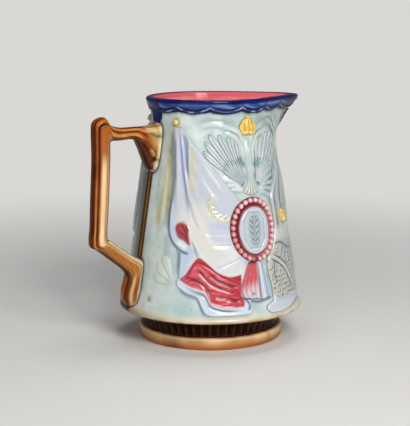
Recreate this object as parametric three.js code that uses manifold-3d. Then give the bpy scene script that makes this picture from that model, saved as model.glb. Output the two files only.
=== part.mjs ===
// A relief-moulded earthenware jug: a tapering wall on a fluted foot, a scalloped lip drawn out
// to a pouring spout, a mitred bracket handle, and moulded sprigs luted on with slip.
// Millimetres, +Z up, the spout towards +X and the handle towards -X, standing on Z = 0.
import * as THREE from "three";
import { mergeVertices } from "three/addons/utils/BufferGeometryUtils.js";
import Module from "manifold-3d";

const wasm = await Module();
wasm.setup();

// Driving dimensions
const JUG_HEIGHT = 214.5; // table to the top of the lip
const WALL = 5; // thickness of the cast wall
const SLIP = 0.3; // joint of slip between two luted pieces

// Foot: a plain band under a fluted hollow, with a ledge inside that carries the floor
const FOOT_HEIGHT = 27;
const FOOT_RADIUS = 64.5;
const FOOT_BAND = 10.7;
const HOLLOW_RADIUS = 60;
const FOOT_TOP_RADIUS = 70;
const FOOT_ROUNDING = 2.4;
const FLUTES = 54;
const FLUTE_DEPTH = 1.3;
const LEDGE_WIDTH = 5;
const LEDGE_HEIGHT = 4;
const FLOOR = 6; // thickness of the floor

// Wall: a flange at the bottom, a straight taper and a neck that turns out to the lip
const FLANGE_RADIUS = 82;
const FLANGE_EDGE = 5; // height of the flange's rounded edge
const FLANGE_RISE = 9; // flange underside to the start of the taper
const TAPER_RADIUS = 77;
const NECK_RADIUS = 52.6;
const NECK_HEIGHT = 17.5; // the narrowest point up to the top of the lip
const RIM_RADIUS = 55.4;

// Spout
const SPOUT_REACH = 92; // jug axis to the tip of the lip
const SPOUT_DIP = 2.5; // how far the tip lies below the lip
const SPOUT_ROUNDING = THREE.MathUtils.degToRad(6);
const THROAT_HEIGHT = 59.5; // where the throat leaves the wall up to the top of the lip
const THROAT_CURVE = 1.35;
const SPOUT_LEAF_TOP = 1.2; // gap from the leaf to the border above it
const SPOUT_LEAF_LENGTH = 19;
const SPOUT_LEAF_WIDTH = 13;
const SPOUT_LEAF_RISE = 2.4;

// Lip with its hanging scalloped border
const LIP_HEIGHT = 4.5; // lip above the wall's top edge
const LIP_ROUNDING = 1.4;
const BORDER = 1.4; // thickness of the border
const SCALLOPS = 12;
const SCALLOP_DROP = 6.6; // wall's top edge to a scallop's lowest point
const CUSP_DROP = 4.4; // wall's top edge to the cusp between two scallops
const TAB_HALF_ANGLE = THREE.MathUtils.degToRad(8); // plain tab over the handle

// Handle, in the plane through the spout and the jug's axis
const PAD_TOP = 21.5; // top of the lip down to the top of the pad
const PAD_HEIGHT = 42.5;
const PAD_WIDTH = 21;
const PAD_EDGE = 3; // the pad's thickness where it lies on the neck
const PAD_FLARE = 21; // wall to where the pad has drawn in to the arm
const ARM_TOP = 2.4; // top of the pad down to the top of the arm
const ARM_DEPTH = 11;
const ARM_WIDTH = 13.6;
const KNUCKLE_RISE = 9.5; // knuckle above the top of the arm
const GRIP_REACH = 114.6; // jug axis to the outside of the grip
const GRIP_DEPTH = 15.6;
const GRIP_WIDTH = 14.4;
const CORNER = 3; // rounding inside the knuckle
const SWELL = 1; // knuckle and elbow, wider than the grip
const ELBOW_REACH = 118.2; // jug axis to the lower elbow's corner
const ELBOW_HEIGHT = 91;
const STRUT_SEAT = 73; // where the lower arm's top meets the wall
const STRUT_DEPTH = 10;
const TONGUE_LOW = 35;
const TONGUE_PROUD = 13; // the tongue's curl, out from the wall
const TONGUE_WIDTH = 16;
const TONGUE_SECTIONS = [[0.4, 0.9, 1], [0.67, 1, 0.94], [0.85, 0.92, 0.8]]; // shares down, out and wide
const REEDS = 8;
const REED_DEPTH = 0.08; // share of the section's half width

// Raised strip on the wall behind the handle
const STRIP_WIDTH = 5.4;
const STRIP_RISE = 1.6;
const STRIP_GAP = 5; // above the lower arm

// Relief panel, drawn flat and fitted to the wall between the flange and the border.
// Its points are (along the wall from the panel's centre line, up from the panel's foot).
const PANEL_MARGIN = 0.8;
const HEADROOM = 2.4; // bare wall over the tallest sprig
const PANEL_TURN = THREE.MathUtils.degToRad(3); // towards the spout
const EDGE = 0.9; // thickness of a sprig at its edge
const SPRIG_GAP = 0.8; // between neighbouring sprigs
const MEDALLION = { centre: [1.5, 67.4], half: [16, 21], rise: 1.6 };
const BEADS = { count: 28, radius: 2.8, rise: 3.4 };
const WAIST = 0.55; // share of a bead's size left between two beads
const FOLD_RISE = 2;
const DRAPE = {
  top: [[-64, 153.5], [-56, 153.5]],
  left: [[-64, 153.5], [-67, 133], [-71.5, 100], [-74, 66], [-70.5, 56], [-63, 47], [-70, 27]],
  seam: [[-70, 27], [-60, 32], [-50, 42], [-32, 31], [-15, 22]],
  diagonal: [[-56, 153.5], [-52, 149], [-30, 119]],
  folds: 4,
};
const HEM = {
  left: [[-70, 27], [-66, 19]],
  right: [[-15, 22], [-17, 0.5]],
  bottom: [[-66, 19], [-53, 10], [-47, 1], [-17, 0.5]],
  folds: 5,
};
const BANNER = {
  top: [[48, 129], [64, 129]],
  left: [
    [48, 129], [38, 112], [31, 98], [27, 84], [26.4, 66], [22.5, 51],
    [15, 41], [14.6, 32], [17.4, 17], [19.4, 9], [17, 5], [12, 2.6], [11, 0.6],
  ],
  right: [[64, 129], [70, 106], [75, 70], [73, 40], [70, 1]],
  bottom: [[11, 0.6], [40, 0.6], [70, 1]],
  folds: 7,
};
const RIBBON_REAR = {
  left: [[-6.2, 38], [-10.4, 29], [-13.4, 22], [-14.2, 16], [-12.4, 9]],
  right: [[0.8, 38], [2, 25], [2.1, 8]],
  folds: 3,
};
const RIBBON_FORE = {
  left: [[1.6, 38], [2.9, 25], [3, 7]],
  right: [[7.4, 38], [10.2, 29], [13.2, 19], [16, 9]],
  folds: 2,
};
const WING = { root: [5, 101], inner: 6, from: 86, to: 39, lengths: [40, 48, 54, 56, 53, 46], rise: 1.8 };
const PLUME = {
  top: [[-2.4, 144], [2.4, 144]],
  left: [[-2.4, 144], [-3.6, 125], [-3.2, 108], [-9, 99]],
  bottom: [[-9, 99], [0, 96.4], [9, 99]],
  ribs: 5,
  rise: 2.2,
};
const DOME = {
  foot: 147,
  outline: [[5, 0], [8.2, 6], [5.6, 11], [1.4, 12.6], [1.8, 14], [0.8, 15.6]],
  ribs: 3,
  rise: 2.6,
};
const FINIAL = { centre: [-61, 157.6], half: [3, 3.2], rise: 2 };
const ACORN = { centre: [43, 76], half: [3.9, 6.4], rise: 4.8 };
const SPRAY = { root: [-75, 21], inner: 3, from: 96, to: 178, lengths: [26, 25, 22], rise: 1.6 };

const BODY_SEGMENTS = 60;
const FLOOR_SEGMENTS = 48;

// Levels and radii that follow from the dimensions above
const wallFoot = FOOT_HEIGHT + SLIP;
const taperFoot = wallFoot + FLANGE_RISE;
const wallTop = JUG_HEIGHT - LIP_HEIGHT;
const panelFoot = taperFoot + PANEL_MARGIN;
const panelTop = wallTop - SCALLOP_DROP - PANEL_MARGIN;
const drawnTop = DOME.foot + DOME.outline.at(-1)[1] + HEADROOM;
const neckLevel = JUG_HEIGHT - NECK_HEIGHT;
const throatLevel = JUG_HEIGHT - THROAT_HEIGHT;
const padTop = JUG_HEIGHT - PAD_TOP;
const armTop = padTop - ARM_TOP;
const axisShift = (ELBOW_REACH - SPOUT_REACH) / 2;

// Outside radius of the plain wall
function wallRadius(height) {
  if (height > neckLevel) {
    const turnOut = (height - neckLevel) / NECK_HEIGHT;
    return NECK_RADIUS + (RIM_RADIUS - NECK_RADIUS) * turnOut ** 2;
  }
  const share = (height - taperFoot) / (neckLevel - taperFoot);
  return THREE.MathUtils.lerp(TAPER_RADIUS, NECK_RADIUS, share);
}

// A point at a radius, a turn about the axis and a height. Above the throat the round plan is
// drawn out to a teardrop, whose straight flanks meet at the spout.
function place(radius, turn, height) {
  const share = THREE.MathUtils.clamp((height - throatLevel) / THROAT_HEIGHT, 0, 1);
  const round = wallRadius(height);
  const reach = round + (SPOUT_REACH - RIM_RADIUS) * share ** THROAT_CURVE;
  const fromSpout = Math.atan2(Math.sin(turn), Math.cos(turn));
  const flank = Math.acos(round / reach) + SPOUT_ROUNDING - Math.hypot(fromSpout, SPOUT_ROUNDING);
  const stretch = 1 / Math.cos(Math.max(0, flank));
  const dip = stretch > 1 ? (SPOUT_DIP * share * (stretch - 1)) / (reach / round - 1) : 0;
  const drawn = radius * stretch;
  return new THREE.Vector3(drawn * Math.cos(turn), drawn * Math.sin(turn), height - dip);
}

// A closed body from points and triangles, turned inside out if its faces point inwards
function closedBody(points, faces) {
  let volume = 0;
  for (const [a, b, c] of faces) {
    volume += points[a].dot(new THREE.Vector3().crossVectors(points[b], points[c]));
  }
  const outward = volume < 0 ? faces.map(([a, b, c]) => [a, c, b]) : faces;
  const geometry = new THREE.BufferGeometry().setFromPoints(points);
  geometry.setIndex(outward.flat());
  return geometry;
}

// A ring about the axis: one closed profile of (radius, height) for each turn
function revolve(profileAt, segments) {
  const points = [];
  const faces = [];
  const rows = profileAt(0).length;
  for (let i = 0; i < segments; i++) {
    const turn = (i / segments) * 2 * Math.PI;
    for (const [radius, height] of profileAt(turn)) points.push(place(radius, turn, height));
    const next = ((i + 1) % segments) * rows;
    for (let j = 0; j < rows; j++) {
      const above = (j + 1) % rows;
      faces.push([i * rows + j, next + j, next + above]);
      faces.push([i * rows + j, next + above, i * rows + above]);
    }
  }
  return closedBody(points, faces);
}

// A bar through a row of sections with equal numbers of points, closed at both ends
function loft(sections) {
  const points = sections.flat();
  const faces = [];
  const count = sections[0].length;
  for (let i = 0; i + 1 < sections.length; i++) {
    for (let k = 0; k < count; k++) {
      const next = (k + 1) % count;
      faces.push([i * count + k, i * count + next, (i + 1) * count + next]);
      faces.push([i * count + k, (i + 1) * count + next, (i + 1) * count + k]);
    }
  }
  const last = (sections.length - 1) * count;
  for (let k = 1; k + 1 < count; k++) {
    faces.push([0, k + 1, k]);
    faces.push([last, last + k, last + k + 1]);
  }
  return closedBody(points, faces);
}

// Where a sprig lies: the turn of its centre line, which way it runs, and its height on the wall
const panelLevel = (v) => panelFoot + (v * (panelTop - panelFoot)) / drawnTop;
const rightPanel = { turn: -Math.PI / 2 + PANEL_TURN, sense: 1, level: panelLevel };
const leftPanel = { turn: Math.PI / 2 - PANEL_TURN, sense: -1, level: panelLevel };
const handleLine = { turn: Math.PI, sense: 1, level: (v) => v };
const spoutLine = { turn: 0, sense: 1, level: (v) => v };

function onWall(site, u, v, proud) {
  const height = site.level(v);
  const radius = wallRadius(height);
  return place(radius + proud, site.turn + (site.sense * u) / radius, height);
}

// A slab on the wall over a grid, whose sketch gives (u, v, rise) for shares of its width and length
function slab(site, columns, rows, sketch, seat = SLIP) {
  const points = [];
  const faces = [];
  const wide = columns + 1;
  const layer = wide * (rows + 1);
  for (const raised of [1, 0]) {
    for (let j = 0; j <= rows; j++) {
      for (let i = 0; i <= columns; i++) {
        const [u, v, rise] = sketch(i / columns, j / rows);
        points.push(onWall(site, u, v, raised ? SLIP + rise : seat));
      }
    }
  }
  const apart = (a, b) => points[a].distanceTo(points[b]);
  const quad = (a, b, c, d) => {
    if (apart(a, c) < apart(b, d)) faces.push([a, b, c], [a, c, d]);
    else faces.push([a, b, d], [b, c, d]);
  };
  for (let j = 0; j < rows; j++) {
    for (let i = 0; i < columns; i++) {
      const a = j * wide + i;
      quad(a, a + 1, a + wide + 1, a + wide);
      quad(layer + a, layer + a + wide, layer + a + wide + 1, layer + a + 1);
    }
  }
  const wallUp = (a, b) => quad(a, layer + a, layer + b, b);
  for (let i = 0; i < columns; i++) {
    wallUp(i, i + 1);
    wallUp(rows * wide + i + 1, rows * wide + i);
  }
  for (let j = 0; j < rows; j++) {
    wallUp((j + 1) * wide, j * wide);
    wallUp(j * wide + columns, (j + 1) * wide + columns);
  }
  return closedBody(points, faces);
}

const curve = (points) => new THREE.SplineCurve(points.map(([u, v]) => new THREE.Vector2(u, v)));

// A patch between four edges (a Coons patch): shares across and down give a point on the panel
function patch(top, bottom, left, right) {
  return (s, t) => {
    const across = top.getPointAt(s).lerp(bottom.getPointAt(s), t);
    const down = left.getPointAt(t).lerp(right.getPointAt(t), s);
    const upper = top.getPointAt(0).lerp(top.getPointAt(1), s);
    const lower = bottom.getPointAt(0).lerp(bottom.getPointAt(1), s);
    return across.add(down).sub(upper.lerp(lower, t));
  };
}

// Cloth with folds that run down it and die out at its edges
function foldedCloth(site, edges, folds, columns, rows, extra = 0) {
  const cloth = patch(edges.top, edges.bottom, edges.left, edges.right);
  return slab(site, columns, rows, (s, t) => {
    const { x, y } = cloth(s, t);
    const ridge = Math.sin(Math.PI * folds * s) ** 2;
    return [x, y, EDGE + extra + FOLD_RISE * ridge * Math.sqrt(t)];
  });
}

// A swelling oval, from a square grid bent to an ellipse
function oval(site, { centre, half, rise }, columns, dished = 0, seat = SLIP) {
  return slab(site, columns, columns, (s, t) => {
    const x = 2 * s - 1;
    const y = 2 * t - 1;
    const u = x * Math.sqrt(1 - y ** 2 / 2);
    const v = y * Math.sqrt(1 - x ** 2 / 2);
    const inward = 1 - u ** 2 - v ** 2;
    const swell = rise * Math.sqrt(Math.max(0, inward)) * (1 - dished * inward);
    return [centre[0] + half[0] * u, centre[1] + half[1] * v, EDGE + swell];
  }, seat);
}

// Blades that fan out from a root, each with a ridge along it and a round tip
function fan(site, { root, inner, from, to, lengths, rise }, mirrored = 1) {
  const stepsAcross = 2;
  const stepsAlong = 3;
  const reach = new THREE.SplineCurve(lengths.map((length, i) => new THREE.Vector2(i, length)));
  return slab(site, lengths.length * stepsAcross, stepsAlong, (s, t) => {
    const lobe = Math.abs(Math.sin(Math.PI * lengths.length * s));
    const angle = THREE.MathUtils.degToRad(THREE.MathUtils.lerp(from, to, s));
    const tip = reach.getPoint(s).y * (0.8 + 0.2 * lobe);
    const along = THREE.MathUtils.lerp(inner, tip, t);
    const u = mirrored * (root[0] + along * Math.cos(angle));
    return [u, root[1] + along * Math.sin(angle), EDGE + rise * lobe * Math.sqrt(t) * (1 - t / 2)];
  });
}

// Outside profile of the wall, from the flange up, set out by a clearance
function wallProfile(clearance) {
  const throatRows = 4;
  const neckRows = 3;
  const edge = FLANGE_RADIUS + clearance;
  const points = [
    [edge - FLANGE_EDGE / 3, wallFoot],
    [edge, wallFoot + FLANGE_EDGE / 3],
    [edge - FLANGE_EDGE / 6, wallFoot + FLANGE_EDGE * 0.8],
    [(edge + TAPER_RADIUS + clearance) / 2 - FLANGE_EDGE / 6, wallFoot + (FLANGE_EDGE + FLANGE_RISE) / 2],
    [TAPER_RADIUS + clearance, taperFoot],
  ];
  const upTo = (low, high, rows) => (i) => THREE.MathUtils.lerp(low, high, i / rows);
  const throat = [...Array(throatRows).keys()].map(upTo(throatLevel, neckLevel, throatRows));
  const neck = [...Array(neckRows + 1).keys()].map(upTo(neckLevel, wallTop, neckRows));
  return [...points, ...[...throat, ...neck].map((height) => [wallRadius(height) + clearance, height])];
}

function bodyWall() {
  const outside = wallProfile(0);
  const footInside = FOOT_TOP_RADIUS - WALL;
  const inside = outside
    .filter((point, row) => row % 2 === 0 && row > 2)
    .map(([radius, height]) => [radius - WALL, height])
    .reverse();
  inside.push([footInside + WALL / 2, taperFoot - FLANGE_RISE / 2], [footInside, wallFoot]);
  const profile = [...outside, ...inside];
  return revolve(() => profile, BODY_SEGMENTS);
}

function footRing() {
  const bore = HOLLOW_RADIUS - WALL;
  const flutedRows = [
    [HOLLOW_RADIUS, FOOT_BAND + FOOT_ROUNDING / 2],
    [HOLLOW_RADIUS + 0.25 * (FOOT_TOP_RADIUS - HOLLOW_RADIUS), (FOOT_BAND + FOOT_HEIGHT) / 2],
  ];
  return revolve((turn) => {
    const cut = FLUTE_DEPTH * (1 - Math.abs(Math.cos((turn * FLUTES) / 2)));
    return [
      [bore - LEDGE_WIDTH, 0],
      [FOOT_RADIUS - FOOT_ROUNDING, 0],
      [FOOT_RADIUS, FOOT_ROUNDING],
      [FOOT_RADIUS, FOOT_BAND - FOOT_ROUNDING],
      [FOOT_RADIUS - FOOT_ROUNDING, FOOT_BAND],
      ...flutedRows.map(([radius, height]) => [radius - cut, height]),
      [FOOT_TOP_RADIUS, FOOT_HEIGHT],
      [FOOT_TOP_RADIUS - WALL, FOOT_HEIGHT],
      [bore, (FOOT_BAND + FOOT_HEIGHT) / 2],
      [bore, LEDGE_HEIGHT],
      [bore - LEDGE_WIDTH, LEDGE_HEIGHT],
    ];
  }, 2 * FLUTES);
}

// The floor is a lathe-turned disc, dished a little on top, on the ledge inside the foot
function baseDisc() {
  const radius = HOLLOW_RADIUS - WALL - SLIP;
  const under = LEDGE_HEIGHT + SLIP;
  const profile = [
    [0, under],
    [radius, under],
    [radius, under + FLOOR],
    [radius - FLOOR, under + FLOOR],
    [0, under + 0.8 * FLOOR],
  ];
  const disc = new THREE.LatheGeometry(profile.map(([r, z]) => new THREE.Vector2(r, z)), FLOOR_SEGMENTS);
  return disc.rotateX(Math.PI / 2);
}

// Lowest point of the hanging border: scallops all round and a tab down to the handle
function borderFoot(turn) {
  const fromHandle = Math.PI - Math.abs(Math.atan2(Math.sin(turn), Math.cos(turn)));
  if (fromHandle < TAB_HALF_ANGLE) return padTop + SLIP;
  const sag = Math.abs(Math.sin((turn * SCALLOPS) / 2));
  return wallTop - CUSP_DROP - (SCALLOP_DROP - CUSP_DROP) * sag;
}

function rimCollar() {
  const seat = wallTop + SLIP;
  const insideTop = RIM_RADIUS - WALL + LIP_ROUNDING;
  return revolve((turn) => {
    const foot = borderFoot(turn);
    const middle = (foot + wallTop) / 2;
    return [
      [wallRadius(foot) + SLIP, foot],
      [wallRadius(foot) + SLIP + BORDER, foot],
      [wallRadius(middle) + SLIP + BORDER, middle],
      [wallRadius(wallTop) + SLIP + BORDER, wallTop],
      [RIM_RADIUS, JUG_HEIGHT - LIP_ROUNDING],
      [RIM_RADIUS - LIP_ROUNDING, JUG_HEIGHT],
      [insideTop, JUG_HEIGHT],
      [wallRadius(seat) - WALL, seat],
      [wallRadius(seat) + SLIP, seat],
      [wallRadius(middle) + SLIP, middle],
    ];
  }, BODY_SEGMENTS);
}

// One reeded section of the handle between two points of its plane
function handleSection([x0, z0], [x1, z1], width) {
  const squareness = 0.7;
  const points = [];
  for (let k = 0; k < 2 * REEDS; k++) {
    const angle = (k * Math.PI) / REEDS;
    const crest = k % 2 ? 1 - REED_DEPTH : 1;
    const along = (crest * Math.sign(Math.cos(angle)) * Math.abs(Math.cos(angle)) ** squareness) / 2;
    const across = (crest * Math.sign(Math.sin(angle)) * Math.abs(Math.sin(angle)) ** squareness) / 2;
    const x = (x0 + x1) / 2 + along * (x1 - x0);
    const z = (z0 + z1) / 2 + along * (z1 - z0);
    points.push(new THREE.Vector3(x, across * width, z));
  }
  return points;
}

// From the pad on the neck, out along the arm, over the knuckle, down the grip, round the elbow,
// in along the lower arm and down the wall to the tongue's curl. Each section runs from the
// inside of the handle to its outside.
function handleSections() {
  const lerp = THREE.MathUtils.lerp;
  const proud = (height, out) => [-(wallRadius(height) + out), height];
  const between = ([x0, z0], [x1, z1], t) => [lerp(x0, x1, t), lerp(z0, z1, t)];
  const armUnder = armTop - ARM_DEPTH;
  const padLow = padTop - PAD_HEIGHT;
  const padDrop = proud(padLow + PAD_HEIGHT * 0.28, PAD_FLARE * 0.46);
  const padWidth = (t) => lerp(PAD_WIDTH, ARM_WIDTH, t);
  const armRoot = [proud(armUnder, PAD_FLARE), proud(armTop, PAD_FLARE)];
  const gripInside = GRIP_REACH - GRIP_DEPTH;
  const armEnd = [[-gripInside, armUnder], [-gripInside, armTop]];
  const swollen = GRIP_WIDTH + SWELL;
  const roundInside = (t) => {
    const angle = (t * Math.PI) / 2;
    return [-gripInside + CORNER * (1 - Math.sin(angle)), armUnder - CORNER * (1 - Math.cos(angle))];
  };
  const knuckleTop = armTop + KNUCKLE_RISE;
  const gripTop = armUnder - GRIP_DEPTH;
  const gripHead = [[-gripInside, gripTop], [-GRIP_REACH, gripTop]];
  const elbowInside = [-(ELBOW_REACH - GRIP_DEPTH), ELBOW_HEIGHT + GRIP_DEPTH / 3];
  const elbowOutside = [-ELBOW_REACH, ELBOW_HEIGHT];
  const gripFoot = ELBOW_HEIGHT + GRIP_DEPTH;
  const strutTop = proud(STRUT_SEAT, 0);
  const strutUnder = proud(STRUT_SEAT - STRUT_DEPTH, STRUT_DEPTH);
  const strut = (inside, outside) => [
    between(elbowInside, strutTop, inside),
    between(elbowOutside, strutUnder, outside),
  ];
  const tongueLength = STRUT_SEAT - TONGUE_LOW;
  const stations = [
    [proud(padLow, -WALL), proud(padTop, -WALL), PAD_WIDTH],
    [proud(padLow + PAD_EDGE, PAD_EDGE * 1.5), proud(padTop, PAD_EDGE / 2), PAD_WIDTH],
    [padDrop, proud(armTop + PAD_EDGE / 3, PAD_FLARE / 3), padWidth(1 / 3)],
    [proud(armUnder - ARM_DEPTH * 0.7, PAD_FLARE * 0.7), proud(armTop, PAD_FLARE * 0.7), padWidth(2 / 3)],
    [armRoot[0], armRoot[1], ARM_WIDTH],
    [between(armRoot[0], armEnd[0], 0.6), between(armRoot[1], armEnd[1], 0.6), ARM_WIDTH],
    [roundInside(0), [-gripInside, armTop + KNUCKLE_RISE / 3], ARM_WIDTH],
    [roundInside(1 / 3), [-(gripInside + GRIP_DEPTH / 3), knuckleTop], swollen],
    [roundInside(2 / 3), [-(GRIP_REACH - CORNER / 2), knuckleTop - KNUCKLE_RISE / 3], swollen],
    [roundInside(1), [-GRIP_REACH, armTop - CORNER], swollen],
    [...gripHead, GRIP_WIDTH],
    [between(gripHead[0], elbowInside, 0.5), between(gripHead[1], elbowOutside, 0.5), GRIP_WIDTH],
    [[elbowInside[0], gripFoot], [-ELBOW_REACH + SWELL, gripFoot], GRIP_WIDTH],
    [elbowInside, elbowOutside, swollen],
    [...strut(0.08, 0.18), swollen],
    [...strut(0.4, 0.5), ARM_WIDTH],
    [...strut(0.72, 0.78), ARM_WIDTH],
    [proud(STRUT_SEAT, -WALL / 2), proud(STRUT_SEAT - STRUT_DEPTH, STRUT_DEPTH * 1.24), TONGUE_WIDTH],
  ];
  for (const [down, out, wide] of TONGUE_SECTIONS) {
    const height = STRUT_SEAT - down * tongueLength;
    stations.push([proud(height, -WALL), proud(height, out * TONGUE_PROUD), wide * TONGUE_WIDTH]);
  }
  stations.push([proud(TONGUE_LOW, -WALL), proud(TONGUE_LOW, TONGUE_PROUD * 0.6), TONGUE_WIDTH / 2]);
  return stations.map(([inner, outer, width]) => handleSection(inner, outer, width));
}

// Boolean work
function solid(geometry) {
  const bare = geometry.clone();
  bare.deleteAttribute("normal");
  bare.deleteAttribute("uv");
  const welded = mergeVertices(bare);
  const vertProperties = new Float32Array(welded.attributes.position.array);
  const triVerts = new Uint32Array(welded.index.array);
  return new wasm.Manifold(new wasm.Mesh({ numProp: 3, vertProperties, triVerts }));
}

function surface(body) {
  const { vertProperties, triVerts } = body.getMesh();
  const geometry = new THREE.BufferGeometry();
  geometry.setAttribute("position", new THREE.BufferAttribute(new Float32Array(vertProperties), 3));
  geometry.setIndex(new THREE.BufferAttribute(new Uint32Array(triVerts), 1));
  return geometry;
}

// What is left of a piece outside the wall and its joint of slip
function seatOnWall(geometry) {
  const core = NECK_RADIUS / 2;
  const outside = wallProfile(SLIP);
  const filled = [...outside, [core, wallTop], [core, wallFoot]];
  return surface(solid(geometry).subtract(solid(revolve(() => filled, BODY_SEGMENTS))));
}

function handle() {
  return seatOnWall(loft(handleSections()));
}

function spineStrip() {
  const low = STRUT_SEAT + STRIP_GAP;
  const high = padTop - PAD_HEIGHT - SLIP;
  return slab(handleLine, 4, 4, (s, t) => {
    const crown = Math.sin(Math.PI * s);
    return [(s - 0.5) * STRIP_WIDTH, THREE.MathUtils.lerp(low, high, t), EDGE + STRIP_RISE * crown];
  });
}

function spoutLeaf() {
  const high = wallTop - SCALLOP_DROP - SPOUT_LEAF_TOP;
  const columns = 6;
  const rows = 5;
  const leaf = slab(spoutLine, columns, rows, (s, t) => {
    const width = SPOUT_LEAF_WIDTH * (0.25 + 0.75 * Math.sqrt(t));
    const vein = 1 - Math.abs(2 * s - 1);
    return [(s - 0.5) * width, high - SPOUT_LEAF_LENGTH * (1 - t), EDGE + SPOUT_LEAF_RISE * vein];
  }, -WALL / 2);
  return seatOnWall(leaf);
}

// The frame's outer edge, with the gap that its neighbours keep
function frameEdge(start, end, clockwise) {
  const [halfWide, halfHigh] = MEDALLION.half.map((half) => half + 2 * BEADS.radius + 3 * SPRIG_GAP);
  const [u, v] = MEDALLION.centre;
  return new THREE.EllipseCurve(u, v, halfWide, halfHigh, start, end, clockwise);
}

function drape(site) {
  const arc = frameEdge(0.64 * Math.PI, 1.36 * Math.PI, false);
  const right = new THREE.CurvePath();
  right.add(curve([...DRAPE.diagonal, arc.getPoint(0).toArray()]));
  right.add(arc);
  const seam = curve(DRAPE.seam.map(([u, v]) => [u, v + SPRIG_GAP]));
  right.add(new THREE.LineCurve(arc.getPoint(1), seam.getPoint(1)));
  const left = curve([...DRAPE.left.slice(0, -1), seam.getPoint(0).toArray()]);
  return foldedCloth(site, { top: curve(DRAPE.top), bottom: seam, left, right }, DRAPE.folds, 12, 10);
}

const edgesOf = ({ top, bottom, left, right }) => ({
  top: curve(top),
  bottom: curve(bottom),
  left: curve(left),
  right: curve(right),
});

function drapeHem(site) {
  return foldedCloth(site, edgesOf({ ...HEM, top: DRAPE.seam }), HEM.folds, 10, 3);
}

function banner(site, extra = 0) {
  return foldedCloth(site, edgesOf(BANNER), BANNER.folds, 14, 12, extra);
}

// The acorn lies on the banner: what is left of it above the cloth and its joint of slip
function goldAcorn(site) {
  const acorn = oval(site, ACORN, 4, 0, EDGE);
  return surface(solid(acorn).subtract(solid(banner(site, SLIP))));
}

function ribbon(site, { left, right, folds }) {
  const edges = edgesOf({ top: [left[0], right[0]], bottom: [left.at(-1), right.at(-1)], left, right });
  return foldedCloth(site, edges, folds, 2 * folds, 4);
}

function plume(site) {
  const mirrored = PLUME.left.map(([u, v]) => [-u, v]);
  const stem = patch(curve(PLUME.top), curve(PLUME.bottom), curve(PLUME.left), curve(mirrored));
  return slab(site, 2 * PLUME.ribs, 5, (s, t) => {
    const { x, y } = stem(s, t);
    const rib = Math.abs(Math.sin(Math.PI * PLUME.ribs * s)) / 2;
    const relief = THREE.MathUtils.lerp(Math.sin(Math.PI * s), rib, t);
    return [x + MEDALLION.centre[0], y, EDGE + PLUME.rise * relief];
  });
}

function goldDome(site) {
  const outline = curve(DOME.outline);
  return slab(site, 2 * DOME.ribs, 6, (s, t) => {
    const { x: half, y: up } = outline.getPointAt(t);
    const rib = 0.6 + 0.4 * Math.abs(Math.sin(Math.PI * DOME.ribs * s));
    const crown = DOME.rise * Math.sin(Math.PI * s) * rib;
    return [MEDALLION.centre[0] + (2 * s - 1) * half, DOME.foot + up, EDGE + crown];
  });
}

// A ring of beads round the medallion: a half-round section that swells at each bead
function beadFrame(site) {
  const stepsPerBead = 3;
  const sectionSteps = 2;
  const steps = BEADS.count * stepsPerBead;
  const [u, v] = MEDALLION.centre;
  const [halfWide, halfHigh] = MEDALLION.half.map((half) => half + SPRIG_GAP + BEADS.radius);
  const points = [];
  const faces = [];
  const rows = sectionSteps + 1;
  for (let i = 0; i < steps; i++) {
    const angle = (i / steps) * 2 * Math.PI;
    const swell = i % stepsPerBead ? 1 : WAIST;
    for (let j = 0; j < rows; j++) {
      const section = (j / sectionSteps) * Math.PI;
      const out = -BEADS.radius * swell * Math.cos(section);
      const proud = SLIP + BEADS.rise * swell * Math.sin(section);
      const x = u + (halfWide + out) * Math.cos(angle);
      const y = v + (halfHigh + out) * Math.sin(angle);
      points.push(onWall(site, x, y, proud));
      const next = ((i + 1) % steps) * rows;
      const above = (j + 1) % rows;
      faces.push([i * rows + j, next + j, next + above]);
      faces.push([i * rows + j, next + above, i * rows + above]);
    }
  }
  return closedBody(points, faces);
}

// Glazes
const GLAZES = {
  celadon: { color: 0xc9d6d3, roughness: 0.18, metalness: 0 },
  ivory: { color: 0xe9e7e2, roughness: 0.18, metalness: 0 },
  carmine: { color: 0xb8384a, roughness: 0.18, metalness: 0 },
  cobalt: { color: 0x1f2a78, roughness: 0.14, metalness: 0 },
  treacle: { color: 0xa9612c, roughness: 0.16, metalness: 0 },
  gold: { color: 0xe3bd4e, roughness: 0.18, metalness: 0 },
  ash: { color: 0xb9c0bb, roughness: 0.2, metalness: 0 },
};

const jug = new THREE.Group();
jug.position.x = axisShift;

function add(name, glaze, geometry) {
  const mesh = new THREE.Mesh(geometry, new THREE.MeshStandardMaterial(GLAZES[glaze]));
  mesh.name = name;
  jug.add(mesh);
}

add("body_wall", "celadon", bodyWall());
add("foot_ring", "treacle", footRing());
add("base_disc", "celadon", baseDisc());
add("rim_collar", "cobalt", rimCollar());
add("handle", "treacle", handle());
add("spine_strip", "treacle", spineStrip());
add("spout_leaf", "treacle", spoutLeaf());

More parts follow.
